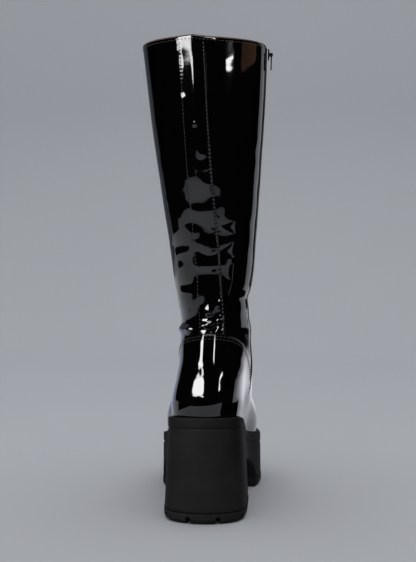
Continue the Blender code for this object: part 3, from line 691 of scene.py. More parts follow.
# %% [markdown]
# ## Seams that pull the strip in
# A lockstitch pulls the leather down at each needle hole, so a seam is a row of small dimples. They are
# modelled, because a dimple in patent catches the light as a dot. Real stitches are about 2.5 mm apart: here
# they are 3.6 mm, so that the dots still show in the render.

# %% Points across the strip
STRIP_WIDTH = 26.0
STITCH_PITCH = 3.6
STITCH_INSET = 1.7
SEAM_AT = STRIP_WIDTH / 2 - STITCH_INSET
SEAM_ZONE = 1.5
SEAM_POINTS = 13
STRIP_MIDDLE = 9.0
STRIP_MIDDLE_POINTS = 23
near_seam = np.linspace(-SEAM_ZONE, SEAM_ZONE, SEAM_POINTS)
strip_middle = np.linspace(-STRIP_MIDDLE, STRIP_MIDDLE, STRIP_MIDDLE_POINTS)
strip_rim = np.full(len(RIM_DROPS), STRIP_WIDTH / 2)
strip_across = np.concatenate((-strip_rim, near_seam - SEAM_AT, strip_middle, near_seam + SEAM_AT, strip_rim))
strip_drops = np.zeros(len(strip_across))
strip_drops[: len(RIM_DROPS)] = RIM_DROPS
strip_drops[-len(RIM_DROPS) :] = RIM_DROPS[::-1]
print(f"{len(strip_across)} points across the strip, {SEAM_POINTS} of them at each seam")

# %% Back strip
STRIP_FIRST = 7.31
STRIP_LAST = 16.98
STRIP_ROWS = 560
SEAM_GROOVE_WIDTH = 0.9
SEAM_DEPTH_LATERAL = 0.03
SEAM_DEPTH_MEDIAL = 0.34
SEAM_PUCKER_POWER = 3.0
strip_climb, strip_climb_drops = rimmed(STRIP_ROWS)
strip_fine = even_places(STRIP_FIRST, STRIP_LAST, WALK_SAMPLES)
strip_places = np.interp(strip_climb, np.linspace(0.0, 1.0, WALK_SAMPLES), strip_fine)[:, None]
strip_steps = np.linalg.norm(np.diff(upper_points(strip_places[:, 0], 0.0), axis=0), axis=-1)
strip_walk = np.concatenate(((0.0,), strip_steps)).cumsum()
pucker = (0.5 + 0.5 * np.cos(TAU * strip_walk / STITCH_PITCH)) ** SEAM_PUCKER_POWER
from_seam = (np.abs(strip_across) - SEAM_AT) / SEAM_GROOVE_WIDTH
seam_depths = np.where(strip_across < 0, SEAM_DEPTH_LATERAL, SEAM_DEPTH_MEDIAL)
strip_seams = seam_depths * np.exp(-(from_seam**2)) * pucker[:, None]
strip_heights = PANEL_FACE - np.maximum(strip_drops, strip_climb_drops[:, None]) - strip_seams
strip_arcs = ring_at(strip_places).strip_shift + strip_across
strip_points = skin(strip_places, angle_at_arc(strip_places, strip_arcs), strip_heights)
strip_panel = grid_piece("strip_panel", strip_points, patent, ["back_strip"])
weld(strip_panel)

# %% [markdown]
# ## Lining
# Inside, the boot is lined with a thin knitted tricot glued to the patent. It shows only from above, so a
# coarser grid inside the wall is enough. Its fine ribs are bump, drawn wider than real ones so that they
# show.

# %% Lining material
LINING_RIB = 1.2
# fine knit: soft and dull, with a faint bloom of loose fibres
lining_cloth, lining_shader = new_material(
    "knitted_tricot_lining", Base_Color=linear("#141314"), Roughness=0.85, IOR=1.45, Sheen_Weight=0.15
)
lining_place = add_node(lining_cloth, "ShaderNodeTexCoord").outputs["UV"]
lining_ribs = add_node(
    lining_cloth,
    "ShaderNodeTexWave",
    {"Vector": lining_place, "Scale": per_mm(LINING_RIB) / TAU, "Distortion": 0.6, "Detail": 1.0},
    bands_direction="X",
)
lining_bump = add_node(
    lining_cloth,
    "ShaderNodeBump",
    {"Height": lining_ribs.outputs["Fac"], "Strength": 0.5, "Distance": 0.2 * MM},
)
lining_cloth.node_tree.links.new(lining_bump.outputs["Normal"], lining_shader.inputs["Normal"])

# %% Lining
WALL = 2.0
LINING_CLEARANCE = 0.08
LINING_FIRST = 0.03
LINING_LAST = COLLAR - 0.2
LINING_ROWS = 110
LINING_COLUMNS = 149
lining_places = even_places(LINING_FIRST, LINING_LAST, LINING_ROWS)[:, None]
lining_angles = np.linspace(0.0, TAU, LINING_COLUMNS, endpoint=False)
lining_points = skin(lining_places, lining_angles, -WALL - LINING_CLEARANCE)
grid_piece("lining", lining_points[:, ::-1], lining_cloth, ["upper"], wrap=True)

# %% [markdown]
# ## Platform sole
# The sole is one block of moulded rubber: a thin band at the top, a groove under it, then a wall that flares
# a little to the floor. Its plan is the feather edge grown by a lip. The loft is made again here with more
# points and with small roundings at the edges, because a moulded edge always carries a thin line of light.

# %% Sizes of the sole
GAP = 0.35
SOLE_LIP = 3.5
BALL_LIP = 4.8
SOLE_FLARE = 3.6
BACK_FLARE_SHARE = 0.34
FRONT_FLARE_SHARE = 0.70
BALL_FLARE_SHARE = 0.1
SOLE_BACK_ROUND = 0.12
SOLE_FRONT_ROUND = 0.27
BAND_HEIGHT = 9.5
BAND_GROOVE_DEPTH = 0.9
BAND_GROOVE_HEIGHT = 1.6
BREAST_BOTTOM_Y = 82.0
BREAST_TOP_Y = 89.0
ARCH_HEIGHT = 42.0
ARCH_POWER = 2.1
FOREFOOT_BACK_Y = 160.0
TREAD_THICKNESS = 10.0
TOE_SPRING = 12.0
TOE_SPRING_START_Y = 190.0
print(f"heel block {BREAST_BOTTOM_Y:.0f} mm long, arch {ARCH_HEIGHT:.0f} mm high")


# %% Plan of the sole
def grown_feather(heel, ball, back, front):
    """The feather edge's plan, grown at the heel and waist, at the ball, and at its two ends."""
    feather = RINGS[0]
    return feather._replace(
        back_y=feather.back_y - back,
        front_y=feather.front_y + front,
        lateral_heel=feather.lateral_heel + heel,
        lateral_waist=feather.lateral_waist + heel,
        lateral_ball=feather.lateral_ball + ball,
        medial_heel=feather.medial_heel + heel,
        medial_waist=feather.medial_waist + heel,
        medial_ball=feather.medial_ball + ball,
    )


def sole_ring(inset=0.0, flare=0.0):
    """Plan of the sole, which stands out past the feather edge by its lip and by its flare."""
    heel = SOLE_LIP - inset
    ball = BALL_LIP - inset
    plan = grown_feather(
        heel + flare,
        ball + flare * BALL_FLARE_SHARE,
        heel + flare * BACK_FLARE_SHARE,
        heel + flare * FRONT_FLARE_SHARE,
    )
    return plan._replace(back_round=SOLE_BACK_ROUND, front_round=SOLE_FRONT_ROUND)


def angle_at_y(ring, y):
    """Angle on the medial side of a section at a distance from the heel's back."""
    return math.acos(1 - 2 * (y - ring.back_y) / (ring.front_y - ring.back_y))


print(f"sole {sole_ring().front_y - sole_ring().back_y:.0f} mm long at its top")


# %% Underside of the sole
def toe_spring(y):
    """Height of the tread's underside over the floor."""
    past = np.maximum(y - TOE_SPRING_START_Y, 0.0) / (SOLE_LENGTH - TOE_SPRING_START_Y)
    return TOE_SPRING * past**2


def sole_bottom(y):
    """Height of the platform's underside: heel block, breast, arch and forefoot."""
    breast = np.clip((y - BREAST_BOTTOM_Y) / (BREAST_TOP_Y - BREAST_BOTTOM_Y), 0.0, 1.0)
    along = np.clip((y - BREAST_TOP_Y) / (FOREFOOT_BACK_Y - BREAST_TOP_Y), 0.0, 1.0)
    drop = (1 - along**ARCH_POWER) ** (1 / ARCH_POWER)
    arch = (ARCH_HEIGHT - TREAD_THICKNESS) * np.where(y <= BREAST_TOP_Y, breast, drop)
    return TREAD_THICKNESS + arch + toe_spring(y)


print(f"arch {sole_bottom(BREAST_TOP_Y):.0f} mm and toe {toe_spring(SOLE_LENGTH):.0f} mm over the floor")


# %% Stacks of loops as solids
def both_sides(angles):
    """Medial angles followed by their lateral partners in reverse."""
    return np.concatenate((angles, TAU - angles[::-1]))


def stack_faces(levels, count):
    """Quads round a stack of loops, and strips across its first and last loop."""
    index = np.arange(levels * count).reshape(levels, count)
    sides = grid_faces(levels, count, wrap=True)[:, ::-1]
    j = np.arange(count // 2 - 1)
    pairs = np.stack((j, j + 1, count - 2 - j, count - 1 - j), axis=-1)
    return np.concatenate((sides, index[0][pairs], index[-1][pairs][:, ::-1]))


print("a stack of 2 loops of 8 points has", len(stack_faces(2, 8)), "faces")

# %% [markdown]
# ## Moulded rubber
# The sole is foamed rubber from an etched mould, with a fine grit that scatters light. Its specular is weak
# and rough, so the lamps only lift it to a dark grey. The grit is about 0.7 mm wide here, coarser than the
# real one, because finer grit would vanish in the render. Clouds a thumb wide vary its tone, as bloom does.

# %% Rubber material
RUBBER_GRIT = 0.7
RUBBER_CLOUD = 22.0
# etched rubber: flat and matte, dark grey where light falls on it, without any mirror
rubber, rubber_shader = new_material(
    "moulded_black_rubber", Roughness=0.74, IOR=1.45, Specular_IOR_Level=0.22
)
rubber_place = add_node(rubber, "ShaderNodeTexCoord").outputs["Object"]
rubber_grit = add_node(
    rubber, "ShaderNodeTexNoise", {"Vector": rubber_place, "Scale": per_mm(RUBBER_GRIT), "Detail": 2.0}
)
rubber_cloud = add_node(
    rubber, "ShaderNodeTexNoise", {"Vector": rubber_place, "Scale": per_mm(RUBBER_CLOUD), "Detail": 3.0}
)
rubber_tone = add_node(rubber, "ShaderNodeValToRGB", {"Fac": rubber_cloud.outputs["Fac"]})
rubber_tone.color_ramp.elements[0].position = 0.3
rubber_tone.color_ramp.elements[0].color = linear("#141415")
rubber_tone.color_ramp.elements[1].position = 0.75
rubber_tone.color_ramp.elements[1].color = linear("#1f1f20")
rubber_bump = add_node(
    rubber, "ShaderNodeBump", {"Height": rubber_grit.outputs["Fac"], "Strength": 0.35, "Distance": 0.15 * MM}
)
rubber.node_tree.links.new(rubber_tone.outputs["Color"], rubber_shader.inputs["Base Color"])
rubber.node_tree.links.new(rubber_bump.outputs["Normal"], rubber_shader.inputs["Normal"])

# %% Angles round the platform
SOLE_HALF_POINTS = 150
ARCH_POINTS = 22
half_angles = (np.arange(SOLE_HALF_POINTS) + 0.5) * math.pi / SOLE_HALF_POINTS
bottom_ring = sole_ring(flare=SOLE_FLARE)
arch_y = (BREAST_BOTTOM_Y, *np.linspace(BREAST_TOP_Y, FOREFOOT_BACK_Y, ARCH_POINTS))
arch_angles = np.array([angle_at_y(bottom_ring, y) for y in arch_y])
clear = math.pi / SOLE_HALF_POINTS / 2
spare = np.abs(half_angles[:, None] - arch_angles).min(axis=1) > clear
platform_angles = both_sides(np.sort(np.concatenate((half_angles[spare], arch_angles))))
print(f"{len(platform_angles)} points round the platform, {2 * len(arch_y)} of them on the arch")

# %% Platform block
below_band = BAND_HEIGHT + BAND_GROOVE_HEIGHT
# the top edge, the band and its groove: inset from the lip, and depth under the top, in mm
EDGE_LEVELS = (
    (2.4, 0.0),
    (1.2, 0.0),
    (0.55, 0.12),
    (0.12, 0.55),
    (0.0, 1.2),
    (0.0, 2.4),
    (0.0, BAND_HEIGHT - 0.9),
    (0.1, BAND_HEIGHT - 0.2),
    (BAND_GROOVE_DEPTH, BAND_HEIGHT + 0.3),
    (BAND_GROOVE_DEPTH, below_band - 0.3),
    (0.1, below_band + 0.2),
    (0.0, below_band + 0.9),
)
# the flared wall: share of the way down, and inset in mm, which rounds the lower edge
WALL_LEVELS = ((0.25, 0.0), (0.5, 0.0), (0.75, 0.0), (0.96, 0.0), (0.99, 0.25), (1.0, 0.9))
loops = []
for inset, drop in EDGE_LEVELS:
    x, y, _ = plan_points(sole_ring(inset), platform_angles)
    loops.append(np.stack((x, y, sole_top(y) - drop), axis=-1))
wall_y = plan_points(bottom_ring, platform_angles)[1]
wall_depth = sole_top(wall_y) - below_band - sole_bottom(wall_y)
full_depth = sole_top(wall_y) - below_band - TREAD_THICKNESS
for down, inset in WALL_LEVELS:
    flare = SOLE_FLARE * down * wall_depth / full_depth
    parts = [plan_points(sole_ring(inset, f), a) for f, a in zip(flare, platform_angles)]
    x = np.array([p[0] for p in parts])
    y = np.array([p[1] for p in parts])
    loops.append(np.stack((x, y, sole_top(wall_y) - below_band - wall_depth * down), axis=-1))
platform_points = np.array(loops)
mesh_piece(
    "platform_block",
    in_frame(platform_points).reshape(-1, 3),
    stack_faces(*platform_points.shape[:2]),
    rubber,
    ["platform_sole"],
)

# %% [markdown]
# ## Treads
# Under the heel and the forefoot lies a lugged layer. The lugs are what is left between grooves in its rim,
# so each tread is lofted whole and the grooves are cut with boxes, as a mould maker would mill them. A Bevel
# after the cut rounds every new edge.

# %% Places of the grooves
TREAD_PROUD = 0.4
LUG_PITCH = 29.0
RIM_TURN = 175.0
RIM_TURN_STEP = 0.5


def tread_ring(inset=0.0):
    """Plan of a tread layer, a little proud of the platform over it."""
    return sole_ring(inset - TREAD_PROUD, SOLE_FLARE)


def rim_walk(start_angle, direction, count):
    """Points and inward directions a lug pitch apart along a tread's rim, from half a pitch past an end."""
    angles = start_angle + direction * np.radians(np.arange(0.0, RIM_TURN, RIM_TURN_STEP))
    x, y, _ = plan_points(tread_ring(), angles)
    rim = np.stack((x, y), axis=-1)
    walked = np.concatenate(((0.0,), np.linalg.norm(np.diff(rim, axis=0), axis=-1).cumsum()))
    places = []
    for k in range(count):
        i = int(np.searchsorted(walked, LUG_PITCH * (k + 0.5)))
        along = Vector(rim[i] - rim[i - 1]).normalized() * direction
        places.append((Vector(rim[i]), Vector((-along.y, along.x))))
    return places


print(f"first groove of the heel {rim_walk(0.0, 1, 1)[0][0].x:.0f} mm beside the middle")

# %% Boxes that mill the grooves
LUG_DEPTH = 6.5
LUG_GROOVE = 4.6
LUG_GROOVE_REACH = 14.0


def groove_cutter(name, start_angle, count):
    """Hidden boxes that cut the grooves of one tread."""
    work = bmesh.new()
    for direction in (1, -1):
        for point, inward in rim_walk(start_angle, direction, count // 2):
            depth = LUG_DEPTH + toe_spring(point.y)
            size = Vector((2 * LUG_GROOVE_REACH, LUG_GROOVE, 2 * depth)) * MM
            centre = Vector(in_frame((point.x, point.y, 0.0)))
            turn = Matrix.Rotation(math.atan2(inward.y, inward.x), 4, "Z")
            place = Matrix.Translation(centre) @ turn @ Matrix.Diagonal((*size, 1.0))
            bmesh.ops.create_cube(work, size=1.0, matrix=place)
    mesh = bpy.data.meshes.new(name)
    work.to_mesh(mesh)
    work.free()
    cutter = bpy.data.objects.new(name, mesh)
    bpy.context.scene.collection.objects.link(cutter)
    return cutter


print(f"grooves {LUG_GROOVE} mm wide and {LUG_DEPTH} mm deep")

# %% A tread with its lugs
TREAD_BEVEL_WIDTH = 2.4
TREAD_BEVEL_HEIGHT = 4.0
LUG_ROUNDING = 0.5
LUG_ROUNDING_SEGMENTS = 2
ROUNDED_OVER = math.radians(24)
SHARP_OVER = math.radians(40)


def tread_piece(name, angles, groove_start, grooves, node):
    """One tread: lofted, grooved and with its edges rounded."""
    levels = (
        (0.0, TREAD_THICKNESS - GAP),
        (0.0, TREAD_BEVEL_HEIGHT),
        (TREAD_BEVEL_WIDTH, 0.0),
    )
    loops = []
    for inset, height in levels:
        x, y, _ = plan_points(tread_ring(inset), both_sides(angles))
        loops.append(np.stack((x, y, toe_spring(y) + height), axis=-1))
    points = np.array(loops)
    faces = stack_faces(*points.shape[:2])
    piece = mesh_piece(name, in_frame(points).reshape(-1, 3), faces, rubber, [node])
    cutter = groove_cutter(name + "_cutter", groove_start, grooves)
    boolean = piece.modifiers.new("grooves", "BOOLEAN")
    boolean.operation = "DIFFERENCE"
    boolean.solver = "EXACT"
    boolean.object = cutter
    rounding = piece.modifiers.new("rounding", "BEVEL")
    rounding.width = LUG_ROUNDING * MM
    rounding.segments = LUG_ROUNDING_SEGMENTS
    rounding.limit_method = "ANGLE"
    rounding.angle_limit = ROUNDED_OVER
    graph = bpy.context.evaluated_depsgraph_get()
    made = bpy.data.meshes.new_from_object(piece.evaluated_get(graph))
    piece.modifiers.clear()
    piece.data = made
    made.shade_smooth()
    made.set_sharp_from_angle(angle=SHARP_OVER)
    bpy.data.objects.remove(cutter, do_unlink=True)
    print(f"{name}: {len(made.polygons)} faces after the grooves")


print(f"edges of the lugs are rounded by {LUG_ROUNDING} mm")

# %% Heel and forefoot treads
HEEL_LUG_GROOVES = 6
FOREFOOT_LUG_GROOVES = 8
breast_angle = angle_at_y(tread_ring(), BREAST_BOTTOM_Y)
back_angle = angle_at_y(tread_ring(), FOREFOOT_BACK_Y)
heel_angles = np.append(half_angles[half_angles < breast_angle - clear], breast_angle)
forefoot_angles = np.append(back_angle, half_angles[half_angles > back_angle + clear])
tread_piece("heel_lugs", heel_angles, 0.0, HEEL_LUG_GROOVES, "heel_tread")
tread_piece("forefoot_lugs", forefoot_angles, math.pi, FOREFOOT_LUG_GROOVES, "forefoot_tread")

# %% [markdown]
# ## Sock on the footbed
# A padded sock of brushed cotton covers the footbed. It is seen only through the collar, as a grid across
# the foot whose rim dips to the wall, so it looks stuffed and not like a plate. Its threads are drawn 1 mm
# wide, about twice as wide as real ones, so that they show.

# %% Sock material
SOCK_THREAD = 1.0
# brushed cotton: no shine at all, and pale fuzz where it is seen at a slant
sock_cloth, sock_shader = new_material(
    "brushed_cotton_sock", Base_Color=linear("#1d1b1a"), Roughness=0.92, IOR=1.45, Sheen_Weight=0.3
)
sock_place = add_node(sock_cloth, "ShaderNodeTexCoord").outputs["Object"]
sock_weave = add_node(
    sock_cloth,
    "ShaderNodeTexVoronoi",
    {"Vector": sock_place, "Scale": per_mm(SOCK_THREAD), "Randomness": 0.4},
)
sock_bump = add_node(
    sock_cloth,
    "ShaderNodeBump",
    {"Height": sock_weave.outputs["Distance"], "Strength": 0.4, "Distance": 0.2 * MM},
)
sock_cloth.node_tree.links.new(sock_bump.outputs["Normal"], sock_shader.inputs["Normal"])

# %% Sock
SOCK_THICKNESS = 3.0
SOCK_CLEARANCE = 1.3
SOCK_RIM = 2.0
SOCK_COLUMNS = 41
sock_inset = WALL + SOCK_CLEARANCE
sock_ring = grown_feather(-sock_inset, -sock_inset, -sock_inset, -sock_inset)
medial_x, sock_y, _ = plan_points(sock_ring, half_angles)
lateral_x, _, _ = plan_points(sock_ring, TAU - half_angles)
across = np.linspace(0.0, 1.0, SOCK_COLUMNS)
sock_x = lateral_x[:, None] + (medial_x - lateral_x)[:, None] * across
rim_distance = np.minimum(across, 1 - across) * (medial_x - lateral_x)[:, None]
end_distance = np.minimum(sock_y - sock_ring.back_y, sock_ring.front_y - sock_y)[:, None]
sock_crown = 1 - np.exp(-np.minimum(rim_distance, end_distance) / SOCK_RIM)
sock_z = sole_top(sock_y)[:, None] + GAP + SOCK_THICKNESS * sock_crown
sock_points = np.stack((sock_x, np.broadcast_to(sock_y[:, None], sock_x.shape), sock_z), axis=-1)
grid_piece("footbed_sock", sock_points, sock_cloth, ["insole"])

# %% [markdown]
# ## Thread
# Every panel is held by lockstitch in black polyester thread. Each stitch is a short bead that dives into
# the leather at both ends. Curves with a bevel would make hundreds of objects, so the beads of a seam are one
# mesh worked out with arrays. The same function makes the coils of the zip, laid across instead of along.
# The thread is black polyester, but its colour is painted dark grey as a painted glint, so each bead shows
# as a grey dot beside the black patent.

# %% Thread material
# three plies turn once in about 1.5 mm, so each one shows for 0.5 mm
THREAD_TWIST = 0.5
# black thread painted dark grey: a painted glint on every bead, beside a leather that is black or white
thread, thread_shader = new_material(
    "black_thread_painted_grey_glint", Base_Color=linear("#303033"), Roughness=0.3, IOR=1.55, Sheen_Weight=0.2
)
thread_place = add_node(thread, "ShaderNodeTexCoord").outputs["Object"]
thread_twist = add_node(
    thread, "ShaderNodeTexNoise", {"Vector": thread_place, "Scale": per_mm(THREAD_TWIST), "Detail": 2.0}
)
thread_bump = add_node(
    thread, "ShaderNodeBump", {"Height": thread_twist.outputs["Fac"], "Strength": 0.5, "Distance": 0.1 * MM}
)
thread.node_tree.links.new(thread_bump.outputs["Normal"], thread_shader.inputs["Normal"])


# %% Beads along a line
BEAD_ALONG = np.array((-1.0, -0.86, -0.45, 0.0, 0.45, 0.86, 1.0))
BEAD_SIDES = 8
BEAD_CAP = np.array(((0, 1, 2, 3), (0, 3, 4, 7), (4, 5, 6, 7)))
BEAD_END_SHARE = 0.02


def beads_piece(name, centres, directions, normals, length, radius, dip, material, replaces=()):
    """One mesh of beads. Each lies along its direction and sinks at both ends."""
    sides = np.cross(normals, directions)
    turn = np.arange(BEAD_SIDES) * TAU / BEAD_SIDES
    girth = np.sqrt(np.maximum(1 - np.abs(BEAD_ALONG) ** 3, BEAD_END_SHARE)) * radius
    sink = -dip * BEAD_ALONG**4
    spine = (
        centres[:, None]
        + directions[:, None] * (BEAD_ALONG * length / 2)[:, None]
        + normals[:, None] * sink[:, None]
    )
    ring = (
        np.cos(turn)[:, None] * sides[:, None, None, :] + np.sin(turn)[:, None] * normals[:, None, None, :]
    )
    points = spine[:, :, None] + ring * girth[:, None, None]
    sides_of_bead = grid_faces(len(BEAD_ALONG), BEAD_SIDES, wrap=True)
    last_ring = (len(BEAD_ALONG) - 1) * BEAD_SIDES
    per_bead = np.concatenate((sides_of_bead, BEAD_CAP[:, ::-1], BEAD_CAP + last_ring))
    start = np.arange(len(centres)) * len(BEAD_ALONG) * BEAD_SIDES
    faces = (per_bead[None] + start[:, None, None]).reshape(-1, 4)
    mesh_piece(name, in_frame(points).reshape(-1, 3), faces, material, replaces)


print(f"a bead has {len(BEAD_ALONG) * BEAD_SIDES} points")


# %% Even steps along a line on the skin
def resampled(line, pitch, *others):
    """Points an even pitch apart along a line, and the matching points of other lines beside it."""
    walked = np.concatenate(((0.0,), np.linalg.norm(np.diff(line, axis=0), axis=-1).cumsum()))
    count = int(walked[-1] / pitch)
    at = (np.arange(count) + 0.5) * walked[-1] / count
    return [np.stack([np.interp(at, walked, p[:, k]) for k in range(3)], axis=-1) for p in (line, *others)]


def line_frame(place, angle, height, pitch):
    """Even places on a line over the skin: centres, directions along it and outward normals."""
    line = skin(place, angle, height)
    outer = skin(place, angle, height + 1.0)
    centres, raised = resampled(line, pitch, outer)
    normals = unit(raised - centres)
    directions = unit(np.gradient(centres, axis=0))
    normals = unit(normals - directions * (normals * directions).sum(axis=-1, keepdims=True))
    return centres, directions, normals


shaft_back = upper_points(np.linspace(COUNTER_TOP, COLLAR), 0.0)
print(f"up the back of the shaft, {len(resampled(shaft_back, STITCH_PITCH)[0])} stitches fit in one row")

# %% Stitches of the strip and the counter
STITCH_LENGTH = 2.1
STITCH_DIP = 0.35
THREAD_RADIUS = 0.36
THREAD_LIFT = 0.08
LINE_SAMPLES = 420
STRIP_SEAM_FIRST = STRIP_FIRST + 0.1
STRIP_SEAM_LAST = STRIP_LAST - 0.12
COUNTER_SEAM_END = 6.0
COUNTER_SEAM_DROPS = (0.16, 0.42)


def sew(name, lines, height):
    """Stitches along lines of places and angles, as one mesh."""
    frames = [line_frame(place, angle, height, STITCH_PITCH) for place, angle in lines]
    centres, directions, normals = (np.concatenate(parts) for parts in zip(*frames))
    beads_piece(
        name, centres, directions, normals, STITCH_LENGTH, THREAD_RADIUS, STITCH_DIP, thread
    )


seam_places = even_places(STRIP_SEAM_FIRST, STRIP_SEAM_LAST, LINE_SAMPLES)
seam_lines = []
for side in (-1, 1):
    arcs = ring_at(seam_places).strip_shift + side * SEAM_AT
    seam_lines.append((seam_places, angle_at_arc(seam_places, arcs)))
sew("strip_stitches", seam_lines, PANEL_FACE + THREAD_LIFT)

counter_seam_arcs = np.linspace(
    -COUNTER_ARC_LATERAL + COUNTER_SEAM_END, COUNTER_ARC_MEDIAL - COUNTER_SEAM_END, LINE_SAMPLES
)
counter_lines = []
for drop in COUNTER_SEAM_DROPS:
    places = counter_edge(counter_seam_arcs) - drop
    counter_lines.append((places, angle_at_arc(places, counter_seam_arcs)))
sew("counter_stitches", counter_lines, PANEL_FACE + THREAD_LIFT)

# %% Stitches of the collar and the zip
COLLAR_SEAM_DROP = 0.085
COLLAR_SEAM_SAMPLES = 500
COLLAR_SEAM_GAP = 0.12
ZIP_SEAM_AT = ZIP_SLIT / 2 + 2.2
ZIP_SEAM_LAST = COLLAR - 0.15
collar_places = np.full(COLLAR_SEAM_SAMPLES, COLLAR - COLLAR_SEAM_DROP)
collar_start = float(zip_angle(COLLAR)) + COLLAR_SEAM_GAP
collar_angles = np.linspace(collar_start, collar_start + TAU - 2 * COLLAR_SEAM_GAP, COLLAR_SEAM_SAMPLES)
collar_arcs = arc_at_angle(collar_places, collar_angles)
on_strip = np.abs(collar_arcs - RINGS[-1].strip_shift) < STRIP_WIDTH / 2
collar_heights = np.where(on_strip, PANEL_FACE, 0.0) + THREAD_LIFT
sew("collar_stitches", [(collar_places, collar_angles)], collar_heights)

zip_seam_places = even_places(SLIT_FULL_PLACE, ZIP_SEAM_LAST, LINE_SAMPLES)
zip_lines = []
for side in (-1, 1):
    offset = side * ZIP_SEAM_AT / angle_speed(zip_seam_places, zip_angle(zip_seam_places))
    zip_lines.append((zip_seam_places, zip_angle(zip_seam_places) + offset))
sew("zip_stitches", zip_lines, THREAD_LIFT)

# %% [markdown]
# ## Zip
# A coil zip runs up the inner side: woven tape, two nylon coils that lock into one ribbed chain, and a slider
# with a pull tab of black-plated zinc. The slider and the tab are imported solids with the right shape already,
# so they stay and only get their finish. Tape and coils are made on the last, so they follow its folds. The
# tape's ribs are drawn 0.9 mm wide, about twice as wide as real ones, so that they show.

# %% Tape material
TAPE_RIB = 0.9
# woven polyester: matte, with slanting ribs that shade each other
zip_cloth, zip_cloth_shader = new_material(
    "woven_polyester_tape", Base_Color=linear("#101011"), Roughness=0.8, IOR=1.5, Sheen_Weight=0.2
)
tape_place = add_node(zip_cloth, "ShaderNodeTexCoord").outputs["UV"]
tape_ribs = add_node(
    zip_cloth,
    "ShaderNodeTexWave",
    {"Vector": tape_place, "Scale": per_mm(TAPE_RIB) / TAU, "Distortion": 0.4},
    bands_direction="DIAGONAL",
)
tape_bump = add_node(
    zip_cloth, "ShaderNodeBump", {"Height": tape_ribs.outputs["Fac"], "Strength": 0.7, "Distance": 0.2 * MM}
)
zip_cloth.node_tree.links.new(tape_bump.outputs["Normal"], zip_cloth_shader.inputs["Normal"])

# %% Coil material
# a rub mark is about as wide as a coil with its gap, in mm
NYLON_WEAR = 1.5
# drawn nylon rubbed by the slider: a soft plastic shine that is broken by dull spots
nylon, nylon_shader = new_material(
    "black_nylon_coil", Base_Color=linear("#0b0b0c"), Roughness=0.32, IOR=1.53
)
nylon_place = add_node(nylon, "ShaderNodeTexCoord").outputs["Object"]
nylon_wear = add_node(nylon, "ShaderNodeTexNoise", {"Vector": nylon_place, "Scale": per_mm(NYLON_WEAR)})
nylon_rough = add_node(
    nylon, "ShaderNodeMapRange", {"Value": nylon_wear.outputs["Fac"], "To Min": 0.24, "To Max": 0.42}
)
nylon.node_tree.links.new(nylon_rough.outputs["Result"], nylon_shader.inputs["Roughness"])

# %% Slider and pull material
# the skin of a casting is grained at about 0.5 mm, and is drawn coarser so that it shows
CAST_GRAIN = 1.8
# cast zinc under black plating: a dark metal mirror, a little uneven from the mould
plated, plated_shader = new_material("black_plated_zinc", Base_Color=linear("#3b3b3e"), Metallic=1.0)
plated_place = add_node(plated, "ShaderNodeTexCoord").outputs["Object"]
plated_cast = add_node(
    plated, "ShaderNodeTexNoise", {"Vector": plated_place, "Scale": per_mm(CAST_GRAIN), "Detail": 3.0}
)
plated_rough = add_node(
    plated, "ShaderNodeMapRange", {"Value": plated_cast.outputs["Fac"], "To Min": 0.18, "To Max": 0.38}
)
plated.node_tree.links.new(plated_rough.outputs["Result"], plated_shader.inputs["Roughness"])

# %% Tape
ZIP_FIRST = 3.1
ZIP_LAST = 16.97
TAPE_WIDTH = 6.4
TAPE_DEPTH = 0.5
TAPE_ROWS = 200
TAPE_COLUMNS = 13
tape_places = even_places(ZIP_FIRST, ZIP_LAST, TAPE_ROWS)
tape_speed = angle_speed(tape_places, zip_angle(tape_places))
tape_offsets = np.linspace(-TAPE_WIDTH / 2, TAPE_WIDTH / 2, TAPE_COLUMNS)
tape_angles = zip_angle(tape_places)[:, None] + tape_offsets / tape_speed[:, None]
tape_points = skin(tape_places[:, None], tape_angles, -TAPE_DEPTH)
grid_piece("zip_tape_woven", tape_points, zip_cloth, ["zip_tape"])

# %% Coils, slider and pull
COIL_WIDTH = 4.0
COIL_PITCH = 1.25
COIL_RADIUS = 0.55
COIL_DIP = 0.3
coil_centres, coil_along, coil_normals = line_frame(
    tape_places, zip_angle(tape_places), GAP - TAPE_DEPTH + COIL_RADIUS, COIL_PITCH
)
beads_piece(
    "zip_coils",
    coil_centres,
    np.cross(coil_normals, coil_along),
    coil_normals,
    COIL_WIDTH,
    COIL_RADIUS,
    COIL_DIP,
    nylon,
    ["zip_chain"],
)
for name in ("zip_slider", "zip_pull"):
    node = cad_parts[name]
    node.data.materials.clear()
    node.data.materials.append(plated)
    print(name, "gets", plated.name)

# %% [markdown]
# ## Studio
# Patent shows its studio as much as its own shape. A pale sweep of paper is the floor and the backdrop. Two
# soft lamps that the gloss can't see light the paper and the rubber evenly. What the patent mirrors is made
# apart: glowing panels for its bright streaks, and black cards and soft black flags where it is dark. They
# show in reflections only, so each can be set by its place in the gloss and leaves the other light alone.

# %% Paper material
# a hung sheet of paper waves slowly, over about 400 mm
PAPER_CLOUD = 400.0
# uncoated paper: flat pale grey without any shine, its tone uneven by a hair
paper, paper_shader = new_material("matte_studio_paper", Roughness=0.9, IOR=1.45, Specular_IOR_Level=0.1)
paper_place = add_node(paper, "ShaderNodeTexCoord").outputs["Object"]
paper_cloud = add_node(
    paper, "ShaderNodeTexNoise", {"Vector": paper_place, "Scale": per_mm(PAPER_CLOUD), "Detail": 1.0}
)
paper_tone = add_node(paper, "ShaderNodeValToRGB", {"Fac": paper_cloud.outputs["Fac"]})
paper_tone.color_ramp.elements[0].color = linear("#c6c9cf")
paper_tone.color_ramp.elements[1].color = linear("#cbced3")
paper.node_tree.links.new(paper_tone.outputs["Color"], paper_shader.inputs["Base Color"])

